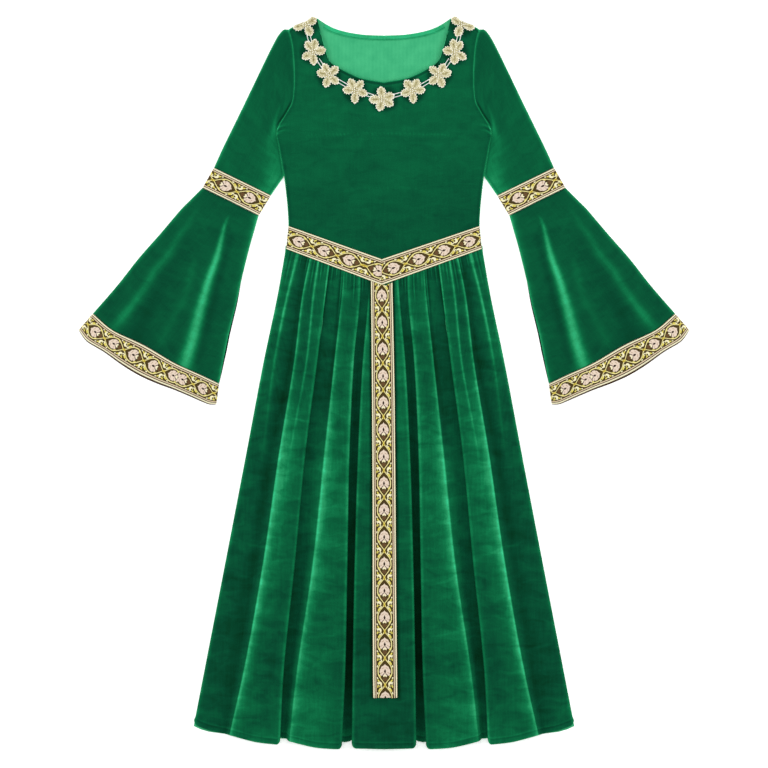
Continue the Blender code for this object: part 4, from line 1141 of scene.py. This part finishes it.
# Creases from the packet across the panels: part of the way down, the folds between which each runs, its
# height and its painted highlight
PACKING_CREASES = table("part first last rise nap",
                        (0.3045, 7.1, 8.9, 0.35, 0.13), (0.335, 3.1, 4.9, 0.35, 0.14),
                        (0.610, 0.8, 4.6, 0.3, 0.10), (0.655, 7.2, 8.9, 0.3, 0.10),
                        (0.765, 3.2, 8.8, 0.3, 0.08))
CREASE_WIDTH = 0.0042
CREASE_WANDER = 0.0015
# Lines of painted shade and highlight, and the groove of the stitching, by their distance from the skirt's
# hem: painted shade in the groove, painted highlight along the hem's fold and above the stitching
HEM_SHADE = ((HEM_DEPTH, 1.1, -0.12), (0.0, 1.4, 0.25), (HEM_DEPTH + 1.8, 1.1, 0.12))
HEM_GROOVE = ((HEM_DEPTH, 1.1, -0.5),)
# The painted shadow that the tail casts on the skirt beside its edges
TAIL_SHADE = 0.6
TAIL_SHADE_OUT = 0.8
TAIL_SHADE_WIDTH = 1.8


def fold_start(outs):
    """How far down a fold leaves the waist seam, found by stepping to where the two lines cross."""
    out = outs[0]
    for _ in range(6):
        start = waist_seam(out) + SEAM / 2
        out = smooth(SKIRT_LEVELS, outs, start)
    return start


FOLD_STARTS = [fold_start(outs) for outs in FOLD_OUT]


def fold_knots(part):
    """Points of the skirt's section that its folds give, at a part of the way from waist to hem."""
    knots = []
    opened = ease(part / TURN_FULL_AT)
    foot = TURN_AT_WAIST + (TURN_BELOW - TURN_AT_WAIST) * opened
    lip = LIP_AT_WAIST + (LIP_BELOW - LIP_AT_WAIST) * opened
    asides = PLEAT_EDGE["lip"] * lip + PLEAT_EDGE["foot"] * foot
    for turn, hem, outs, rises, start in zip(FOLDS["turn"], FOLDS["hem"], FOLD_OUT, FOLD_RISE, FOLD_STARTS):
        down = (1 - part) * start + part * hem
        out = smooth(SKIRT_LEVELS, outs, down)
        rise = smooth(SKIRT_LEVELS, rises, down)
        if turn == 0:
            knots.append((out, down, rise))
            continue
        edge = []
        lowers = np.minimum(PLEAT_EDGE["limit"], PLEAT_EDGE["lower"] * rise)
        for aside, lower, up in zip(turn * asides, lowers, PLEAT_EDGE["up"]):
            along_seam = (1 - part) * (waist_seam(out + aside) - waist_seam(out))
            edge.append((out + aside, down + along_seam - up * part, rise - lower))
        knots.extend(edge if turn > 0 else reversed(edge))
    return np.array(knots)


def fold_columns():
    """Mesh columns between neighbouring points of the section, and each column's place among the folds.
    A pleat's edge takes up the places from just before its row to a little after it."""
    steps = []
    places = []
    for number, (turn, count) in enumerate(zip(FOLDS["turn"], FOLDS["steps"])):
        before, after = EDGE_PLACES[turn]
        if turn != 0:
            steps.extend([2 * FINE, 2 * FINE])
            places.extend(np.linspace(number - before, number + after, 4 * FINE, endpoint=False))
        if count > 0:
            end = number + 1 - EDGE_PLACES[FOLDS["turn"][number + 1]][0]
            steps.append(int(count) * FINE)
            places.extend(np.linspace(number + after, end, int(count) * FINE, endpoint=False))
    places.append(len(FOLDS["turn"]) - 1)
    return steps, np.array(places)


def skirt_rows():
    """Parts of the way down at which the skirt's mesh has rows: close at the gathers, creases and hem."""
    length = FOLDS["hem"][0] - FOLD_STARTS[0]
    extra = [part + CREASE_WIDTH * side
             for part in PACKING_CREASES["part"] for side in (-1, -0.5, 0, 0.5, 1)]
    parts = np.concatenate((np.linspace(0.0, GATHERED_PART, GATHERED_ROWS, endpoint=False),
                            np.linspace(GATHERED_PART, 1.0, HANGING_ROWS), extra,
                            1.0 - np.array(HEM_ROWS) / length))
    parts = np.unique(parts.round(5))
    keep = np.concatenate(([True], np.diff(parts) > LEAST_ROW_GAP))
    return parts[keep]


def skirt_half():
    """Middle of the skirt front's left half, in out, down, rise, with its shade and the cloth's width."""
    steps, places = fold_columns()
    panel_shades = np.stack([np.interp(places, PANEL_TONE_AND_PAINTED_LIGHT["fold"], PANEL_TONE_AND_PAINTED_LIGHT[level])
                             for level in SHADE_LEVELS], axis=1)
    rows = []
    for part in skirt_rows():
        out, down, rise = curve(fold_knots(part), steps).T
        seam_rise = bodice_rise(out, down)
        rise = seam_rise + (rise - seam_rise) * ease(part / SEAM_BLEND)
        shade = np.array([np.interp(level, NAP_DOWN, shades) for level, shades in zip(down, panel_shades)])
        length = np.concatenate(([0.0], np.cumsum(np.hypot(np.diff(out), np.diff(rise)))))
        for fold, outward, inward, *lifts in zip(*CRESTS.values()):
            lift = np.interp(np.interp(fold, places, down), NAP_DOWN, lifts)
            away = length - np.interp(fold, places, length)
            shade += lift * near(away, np.where(away < 0, outward, inward))
        rows.append(np.stack((out, down, rise, shade, length), axis=1))
    rows = np.array(rows)
    columns = np.arange(len(places))
    below = rows[..., 1] - rows[:1, :, 1]
    ridges = np.zeros(rows.shape[:2])
    hollows = np.zeros(rows.shape[:2])
    for out, length, rise, half_width in zip(*GATHERS.values()):
        column = np.interp(-out, -rows[0, :, 0], columns)
        away = rows[..., 4] - np.array([np.interp(column, columns, row) for row in rows[..., 4]])[:, None]
        grown = ease(GATHER_START + below / GATHER_GROWTH)
        strength = rise * ease((length - below) / (GATHER_FADE * length)) * grown
        width = half_width * (1.0 + GATHER_SPREAD * below)
        ridge = near(away, width)
        ridges = np.maximum(ridges, strength * ridge)
        hollows = np.maximum(hollows, strength * (near(away, HOLLOW_WIDTH * width) - ridge))
    rows[..., 2] = np.maximum(rows[..., 2] + ridges - HOLLOW_DEPTH * hollows, 0.0)
    rows[..., 3] += GATHER_SHEEN * ridges - GATHER_SHADE * hollows
    return rows, places


def beside_tail(out, down):
    """How near the skirt's points lie to the tail's two edges, where it shades them."""
    past_left = out - np.interp(down, TAIL_EDGES["down"], TAIL_EDGES["left"])
    past_right = -out - np.interp(down, TAIL_EDGES["down"], TAIL_EDGES["right"])
    past = np.maximum(past_left, past_right)
    return near(past - TAIL_SHADE_OUT, TAIL_SHADE_WIDTH) * (down < TAIL_END + 1)


def make_skirt_front():
    """Front panel with its gathers, folds and turned hem. Gives its left half, which the tail lies on."""
    half, places = skirt_half()
    half[:, -1, 0] = 0.0
    out, down, rise, nap, length = np.moveaxis(half, -1, 0)
    parts = skirt_rows()[:, None]
    at_hem = ease((parts - CORNER_FROM) / (1.0 - CORNER_FROM))
    for place in CORNERS:
        corner = int(np.abs(places - place).argmin())
        inwards = np.clip(1.0 - np.abs(out - out[:, corner:corner + 1]) / CORNER_RADIUS, 0.0, 1.0)
        down -= CORNER_RADIUS * (1.0 - np.sqrt(1.0 - inwards**2)) * at_hem
    for part, first, last, raised, lifted in zip(*PACKING_CREASES.values()):
        wander = part + CREASE_WANDER * np.sin(places * 2.3 + part * 40)
        within = ease((places - first) / 0.5) * ease((last - places) / 0.5)
        creased = near(parts - wander, CREASE_WIDTH * 0.6) * within
        rise = rise + raised * creased
        nap = nap + lifted * creased
    from_hem = distance_along(half[-1:, :, :2] - half[..., :2])
    rise = rise + edge_lines(from_hem, HEM_GROOVE)
    nap = nap + edge_lines(from_hem, HEM_SHADE)
    middle = both_halves(space(out, down, REST + rise))
    normal = unit(np.cross(np.gradient(middle, axis=0), np.gradient(middle, axis=1)))
    nap = both_shades(nap)
    nap *= 1.0 - TAIL_SHADE * beside_tail(-middle[..., 0], SHOULDER_Y - middle[..., 1])
    points, faces, source, sides = shell(middle + normal * VELVET / 2)
    width = both_halves(np.stack((length - length[:, -1:], down), axis=-1))
    front = make_piece("skirt_front_velvet", points, faces, [brushed_velvet, knit_back], ["skirt_front"],
                       values=nap.ravel()[source], uv=width.reshape(-1, 2)[source] * MM, sides=sides)
    return half


def make_skirt_back():
    """The plain back panel, flat on the table."""
    waist = WAIST_AT_SIDE + SEAM / 2
    parts = np.linspace(0.0, 1.0, BACK_ROWS + 1)
    across = np.linspace(0.0, 1.0, BACK_COLUMNS + 1)
    side_down = np.linspace(waist, BACK_HEM["down"][0], len(parts))
    side = np.stack((smooth(SKIRT_LEVELS, FOLD_OUT[0], side_down), side_down), axis=1)
    centre = np.linspace((0.0, waist), (0.0, BACK_HEM["down"][-1]), len(parts))
    top = np.linspace((side[0, 0], waist), (0.0, waist), len(across))
    plan = patch(top, even(line_of(BACK_HEM), across), side, centre, across, parts)
    grid = both_halves(space(plan[..., 0], plan[..., 1], np.full(plan.shape[:2], VELVET)))
    points, faces, _, sides = shell(grid, VELVET)
    back = make_piece("skirt_back_velvet", points, faces, [knit_back, brushed_velvet], ["skirt_back"],
                      values=np.full(len(points), BACK_NAP), uv=points[:, :2] * MM, sides=sides)


# Belt and tail
# The belt is the same ribbon in two lengths, folded to a mitre at the centre front and sewn over the waist
# seam. The tail is one straight length that hangs from its point and ends in a raw cut edge.
BELT_TOP = table("out down", (0, 329.5), (131, 284))
# The mitre lies this far to the left of the centre line
MITRE_OUT = 3.0
LAID_GAP = 0.45
BELT_STEPS = 46
BELT_FIRST_CROSSING = 31.0
# On the left the ribbon runs past the mitre and meets the other length, turned round, at this distance
BELT_JOIN = 107.6
TAIL_END = 929.6
TAIL_BELOW_BELT = 0.6
TAIL_UNDER_BELT = 6.0
TAIL_ROWS = 150
TAIL_FIRST_CROSSING = 398.2
TAIL_EDGES = table("down left right", (370, 18.2, 12.0), (440, 17.5, 13.5), (520, 16.8, 15.0),
                   (660, 16.0, 16.2), (800, 15.9, 17.1), (900, 15.5, 18.4), (933, 15.0, 18.6))
TAIL_CROWN = 0.25
# The raw end: how uneven it is, its waves across the ribbon, and the last part of the length that they take
CUT_UNEVEN = 0.4
CUT_WAVES = 17.0
CUT_PART = 0.015

# The skirt is made here, since the tail's edges shade it
skirt = make_skirt_front()
make_skirt_back()


def make_belt():
    """The V of ribbon, one grid for each side of its mitre."""
    parts = RIBBON_LINES[:, None]
    for side, mitre in (("left", MITRE_OUT), ("right", -MITRE_OUT)):
        top, bottom = (np.linspace((edge["out"][-1], edge["down"][-1]), (mitre, edge["down"][0]),
                                   BELT_STEPS + 1) for edge in (BELT_TOP, BELT_BOTTOM))
        plan = (1 - parts[..., None]) * top + parts[..., None] * bottom
        out, down = plan[..., 0], plan[..., 1]
        grid = space(out, down, bodice_top(out, down) + LAID_GAP + RIBBON)
        points, faces, source, _ = shell(grid, THIN_WALL)
        along = (plan - bottom[0]) @ unit(bottom[-1] - bottom[0])
        repeats = (along - BELT_FIRST_CROSSING) / REPEAT + 0.5
        if side == "left":
            join = (BELT_JOIN - BELT_FIRST_CROSSING) / REPEAT + 0.5
            repeats = join - np.abs(repeats - join)
        else:
            points = points * np.array([-1.0, 1.0, 1.0])
            faces = faces[:, ::-1]
        piece = make_piece(f"belt_ribbon_{side}", points, faces, [jacquard], ["belt"],
                           uv=ribbon_laid(repeats, parts * 2 - 1, source))


def make_tail():
    """The tail on the skirt's centre panel."""
    parts = np.linspace(0.0, 1.0, TAIL_ROWS + 1)[:, None]
    start = BELT_BOTTOM["down"][0] - TAIL_UNDER_BELT
    down = start + (TAIL_END - start) * parts
    left = np.interp(down, TAIL_EDGES["down"], TAIL_EDGES["left"])
    right = np.interp(down, TAIL_EDGES["down"], TAIL_EDGES["right"])
    across = left - (left + right) * RIBBON_LINES
    belt_edge = np.interp(np.abs(across), BELT_BOTTOM["out"], BELT_BOTTOM["down"])
    down = np.maximum(down, belt_edge + TAIL_BELOW_BELT)
    down += CUT_UNEVEN * np.sin(RIBBON_LINES * CUT_WAVES) * ease((parts - 1.0 + CUT_PART) / CUT_PART)
    rise = np.zeros_like(down)
    panel = skirt[:, -int(FOLDS["steps"][-2]) * FINE - 1:]
    for column in range(across.shape[1]):
        places = np.interp(panel[:, -1, 1], down[:, column], np.abs(across[:, column]))
        beneath = np.array([[np.interp(place, row[::-1, 0], row[::-1, k]) for k in (1, 2)]
                            for place, row in zip(places, panel)])
        rise[:, column] = np.interp(down[:, column], beneath[:, 0], beneath[:, 1])
    crown = TAIL_CROWN * np.sin(math.pi * RIBBON_LINES)
    height = REST + rise + VELVET / 2 + LAID_GAP + RIBBON + crown
    points, faces, source, _ = shell(space(across, down, height), THIN_WALL)
    repeats = (down - TAIL_FIRST_CROSSING) / REPEAT + 0.5
    piece = make_piece("belt_tail_ribbon", points, faces, [jacquard], ["belt_tail"],
                       uv=ribbon_laid(repeats, RIBBON_LINES * 2 - 1, source))


make_belt()
make_tail()


# Flowers and cords
# Nine crocheted flowers of cream and gold thread, each petal edged with small picots and beads and with a
# cluster of beads in the middle, chained along the neckline by two fine white cords between neighbours.
PETAL = table("along half_width", (0, 0.4), (2, 2.0), (4.5, 3.7), (7.5, 5.0), (10, 5.5), (12.5, 5.2),
              (14.6, 4.1), (16.2, 2.4), (17.2, 0))
# Headings of the petals of the first five flowers, turned from the right towards the top of the picture.
# The first is bent over the shoulder seam, and hides two of its petals there.
PETAL_HEADINGS = ((33, 194, 297, 108, 150), (10, 79, 123, 212, 275), (43, 115, 163, 253, 319),
                  (52, 116, 175, 268, 343), (19, 97, 183, 255, 331))
# How far a flower reaches past the shoulder seam: most beside the neck
PAST_SHOULDER = table("out reach", (92, 5.4), (99, 4.2), (106, 0.8), (114, 0.0))
PETAL_CROWN = 2.1
STITCHES_ROUND_PETAL = 14
HEART_RADIUS = 4.2
BEAD = 0.85
# Rows of beads on a petal: how many, how near its edge, how far round it and how high
BEAD_ROWS = ((11, 1.02, 0.64, 0.9), (6, 0.60, 0.60, 1.9))
# Rings of beads in the heart: how wide, and how many
HEART_BEADS = ((1.4, 3), (3.9, 7))
HEART_HEIGHT = 2.8
# A petal past the shoulder bends down by this much of what reaches past, up to a limit
BEND_DROP = 0.4
BEND_REACH = 6.0
CORD_RADIUS = 0.55
CORD_APART = 4.2
CORD_TUCK = 4.5
CORD_LIFT = 1.3
CORD_TWIST = 1.6
CORD_STEPS = 28
CORD_SIDES = 8
# A cord's two plies: their radius, and how far each lies from the cord's middle
PLY_RADIUS = CORD_RADIUS * 0.62
PLY_OUT = CORD_RADIUS * 0.45


def make_crochet():
    """Cotton and metallic thread worked in the round: cream on top, darker gold between the stitches."""
    material, surface = new_material("beaded_crochet_thread", "#cfc79a", 0.75, Specular_IOR_Level=0.2)
    nap = add_node(material, "Attribute", attribute_name="nap").outputs["Fac"]
    place = add_node(material, "TexCoord").outputs["Object"]
    fibre = add_node(material, "TexNoise", {"Vector": place, "Scale": 420.0, "Detail": 3.0})
    mixed = add_node(material, "Math", {0: fibre, 1: 0.9, 2: nap}, operation="MULTIPLY_ADD")
    colour = colour_ramp(material, mixed, ((0.35, "#7d7346"), (0.70, "#bdb588"), (1.0, "#e6e2cc")))
    return finish(material, surface, colour, fibre, 0.4, 0.0005)


def make_plain_thread(name, dark, light, roughness, specular):
    """Twisted thread or small pearl bead: one colour, a little uneven from place to place."""
    material, surface = new_material(name, light, roughness, Specular_IOR_Level=specular)
    place = add_node(material, "TexCoord").outputs["Object"]
    tone = add_node(material, "TexNoise", {"Vector": place, "Scale": 420.0, "Detail": 1.0})
    return finish(material, surface, colour_ramp(material, tone, ((0.35, dark), (0.6, light))))


crochet = make_crochet()
pearl = make_plain_thread("pearl_beads", "#e9e4cf", "#fffdf2", 0.3, 0.5)
white_cord = make_plain_thread("white_twisted_cord", "#dadfda", "#fbfbf8", 0.7, 0.2)


def ball_shape(segments, rings):
    """Points and faces of a round ball of radius 1, modelled once and then copied."""
    bpy.ops.mesh.primitive_uv_sphere_add(segments=segments, ring_count=rings, radius=1.0)
    ball = bpy.context.object
    points = np.array([vertex.co for vertex in ball.data.vertices])
    faces = [list(face.vertices) for face in ball.data.polygons]
    mesh = ball.data
    bpy.data.objects.remove(ball)
    bpy.data.meshes.remove(mesh)
    return points, faces


def petal_outline(x, y):
    """Bend a circle's points into a petal along +x: broad, with a soft tip and a narrow heart."""
    along = (x + 1.0) / 2 * PETAL["along"][-1]
    share = y / np.sqrt(np.maximum(1.0 - x * x, 0.0001))
    return along, share * np.interp(along, PETAL["along"], PETAL["half_width"])


def petal_shape():
    """One petal: a ball pressed flat, with ridges for the stitches from its spine to its edge."""
    points, faces = ball_shape(56, 14)
    radius = np.hypot(points[:, 0], points[:, 1])
    angle = np.arctan2(points[:, 1], points[:, 0])
    x, y = petal_outline(points[:, 0], points[:, 1])
    stitches = np.cos(angle * STITCHES_ROUND_PETAL) * np.sin(math.pi * np.minimum(radius, 1.0)) ** 0.5
    spine = near(points[:, 1], 0.2) * near(points[:, 0] - 0.15, 0.6)
    crown = PETAL_CROWN * np.abs(points[:, 2]) ** 0.7 + 0.25 * stitches - 0.5 * spine
    shade = 0.28 + 0.20 * stitches + 0.30 * ease((radius - 0.78) / 0.2) - 0.26 * spine
    return np.stack((x, y, np.where(points[:, 2] > 0, crown, 0.0)), axis=1), faces, shade


def heart_shape():
    """The low button in the middle of a flower."""
    points, faces = ball_shape(32, 10)
    height = np.where(points[:, 2] > 0, PETAL_CROWN * 1.15 * np.abs(points[:, 2]) ** 0.8, 0.0)
    shade = 0.12 + 0.12 * np.cos(np.arctan2(points[:, 1], points[:, 0]) * 10)
    return np.stack((points[:, 0] * HEART_RADIUS, points[:, 1] * HEART_RADIUS, height), axis=1), faces, shade


bead_points, bead_faces = ball_shape(8, 5)
petal_points, petal_faces, petal_shade = petal_shape()
heart_points, heart_faces, heart_shade = heart_shape()


def turned_by(points, angle):
    """Turn points about the upright axis."""
    cos, sin = math.cos(angle), math.sin(angle)
    return points @ np.array([(cos, sin, 0.0), (-sin, cos, 0.0), (0.0, 0.0, 1.0)])


def on_bodice(points, out, down):
    """Lay a flat flower's points on the bodice front, and bend over the shoulder what reaches past it."""
    across = out - points[:, 0]
    below = down - points[:, 1]
    shoulder = np.interp(np.abs(across), SHOULDER["out"][::-1], SHOULDER["down"][::-1])
    past = np.maximum(shoulder - np.interp(np.abs(across), *PAST_SHOULDER.values()) - below, 0.0)
    below = below + past
    bent = BEND_DROP * np.minimum(past, BEND_REACH)
    return space(across, below, bodice_top(across, below) + LAID_GAP + points[:, 2] - bent)


def make_flower(number, out, down, headings):
    """One flower: its petals as one mesh, and its beads as another."""
    draw = random.Random(number)
    points, faces, shade, beads = [heart_points], list(heart_faces), [heart_shade], []
    for petal, heading in enumerate(headings):
        angle = math.radians(heading)
        size = np.array([draw.uniform(0.96, 1.03), draw.uniform(0.92, 1.08), 1.0])
        first = len(heart_points) + len(petal_points) * petal
        faces.extend([[corner + first for corner in face] for face in petal_faces])
        points.append(turned_by(petal_points * size + (0, 0, 0.10 * petal), angle))
        shade.append(petal_shade)
        for count, share, reach, height in BEAD_ROWS:
            for k in range(count):
                place = math.pi * reach * (2 * k / (count - 1) - 1)
                x, y = petal_outline(share * math.cos(place), share * math.sin(place))
                bead = np.array([[x, y, height + draw.uniform(-0.1, 0.1)]]) * size
                beads.append((turned_by(bead, angle)[0], BEAD * share * draw.uniform(0.8, 1.0)))
    for ring, count in HEART_BEADS:
        for k in range(count):
            angle = 2 * math.pi * k / count
            height = HEART_HEIGHT - 0.1 * ring
            beads.append((np.array([ring * math.cos(angle), ring * math.sin(angle), height]), BEAD))
    make_piece(f"flower_{number}_crochet", on_bodice(np.concatenate(points), out, down), faces, [crochet],
               [f"flower_{number}"], values=np.concatenate(shade))
    balls = np.concatenate([bead_points * radius + middle for middle, radius in beads])
    corners = [[corner + len(bead_points) * k for corner in face]
               for k in range(len(beads)) for face in bead_faces]
    make_piece(f"flower_{number}_beads", on_bodice(balls, out, down), corners, [pearl])


left = list(zip(FLOWERS["out"], FLOWERS["down"], PETAL_HEADINGS))
right = [(-out, down, [180 - heading for heading in headings])
         for out, down, headings in reversed(left[:-1])]
spots = left + right
for number, spot in enumerate(spots, start=1):
    make_flower(number, *spot)


def make_cord(name, start, end, sideways):
    """A fine two-ply cord between two flowers."""
    start, end = np.array(start), np.array(end)
    heading = unit(end - start)
    beside = np.array([-heading[1], heading[0]])
    first = start + heading * (FLOWER_REACH - CORD_TUCK) + beside * sideways
    last = end - heading * (FLOWER_REACH - CORD_TUCK) + beside * sideways
    parts = np.linspace(0.0, 1.0, CORD_STEPS + 1)
    turns = 2 * math.pi * np.arange(CORD_SIDES) / CORD_SIDES
    points, faces = [], []
    for ply in range(2):
        twist = math.pi * ply + parts * distance_along(last - first) * CORD_TWIST
        middle = first + (last - first) * parts[:, None] + beside * (PLY_OUT * np.cos(twist))[:, None]
        height = bodice_top(*middle.T) + LAID_GAP + CORD_RADIUS * CORD_LIFT + PLY_OUT * np.sin(twist)
        rim = middle[:, None] + beside * (PLY_RADIUS * np.cos(turns))[:, None]
        ring = space(rim[..., 0], rim[..., 1], height[:, None] + PLY_RADIUS * np.sin(turns))
        number = np.arange(ring[..., 0].size).reshape(-1, CORD_SIDES) + ply * ring[..., 0].size
        following = np.roll(number, -1, axis=1)
        around = np.stack((number[:-1], following[:-1], following[1:], number[1:]), axis=-1)
        points.append(ring.reshape(-1, 3))
        faces += [*around.reshape(-1, 4).tolist(), number[0, ::-1].tolist(), number[-1].tolist()]
    make_piece(name, np.concatenate(points), faces, [white_cord], [name.replace("_thread", "")])


centres = [spot[:2] for spot in spots]
for number, (start, end) in enumerate(zip(centres, centres[1:]), start=1):
    for letter, sideways in (("a", CORD_APART / 2), ("b", -CORD_APART / 2)):
        make_cord(f"flower_cord_{number}{letter}_thread", start, end, sideways)
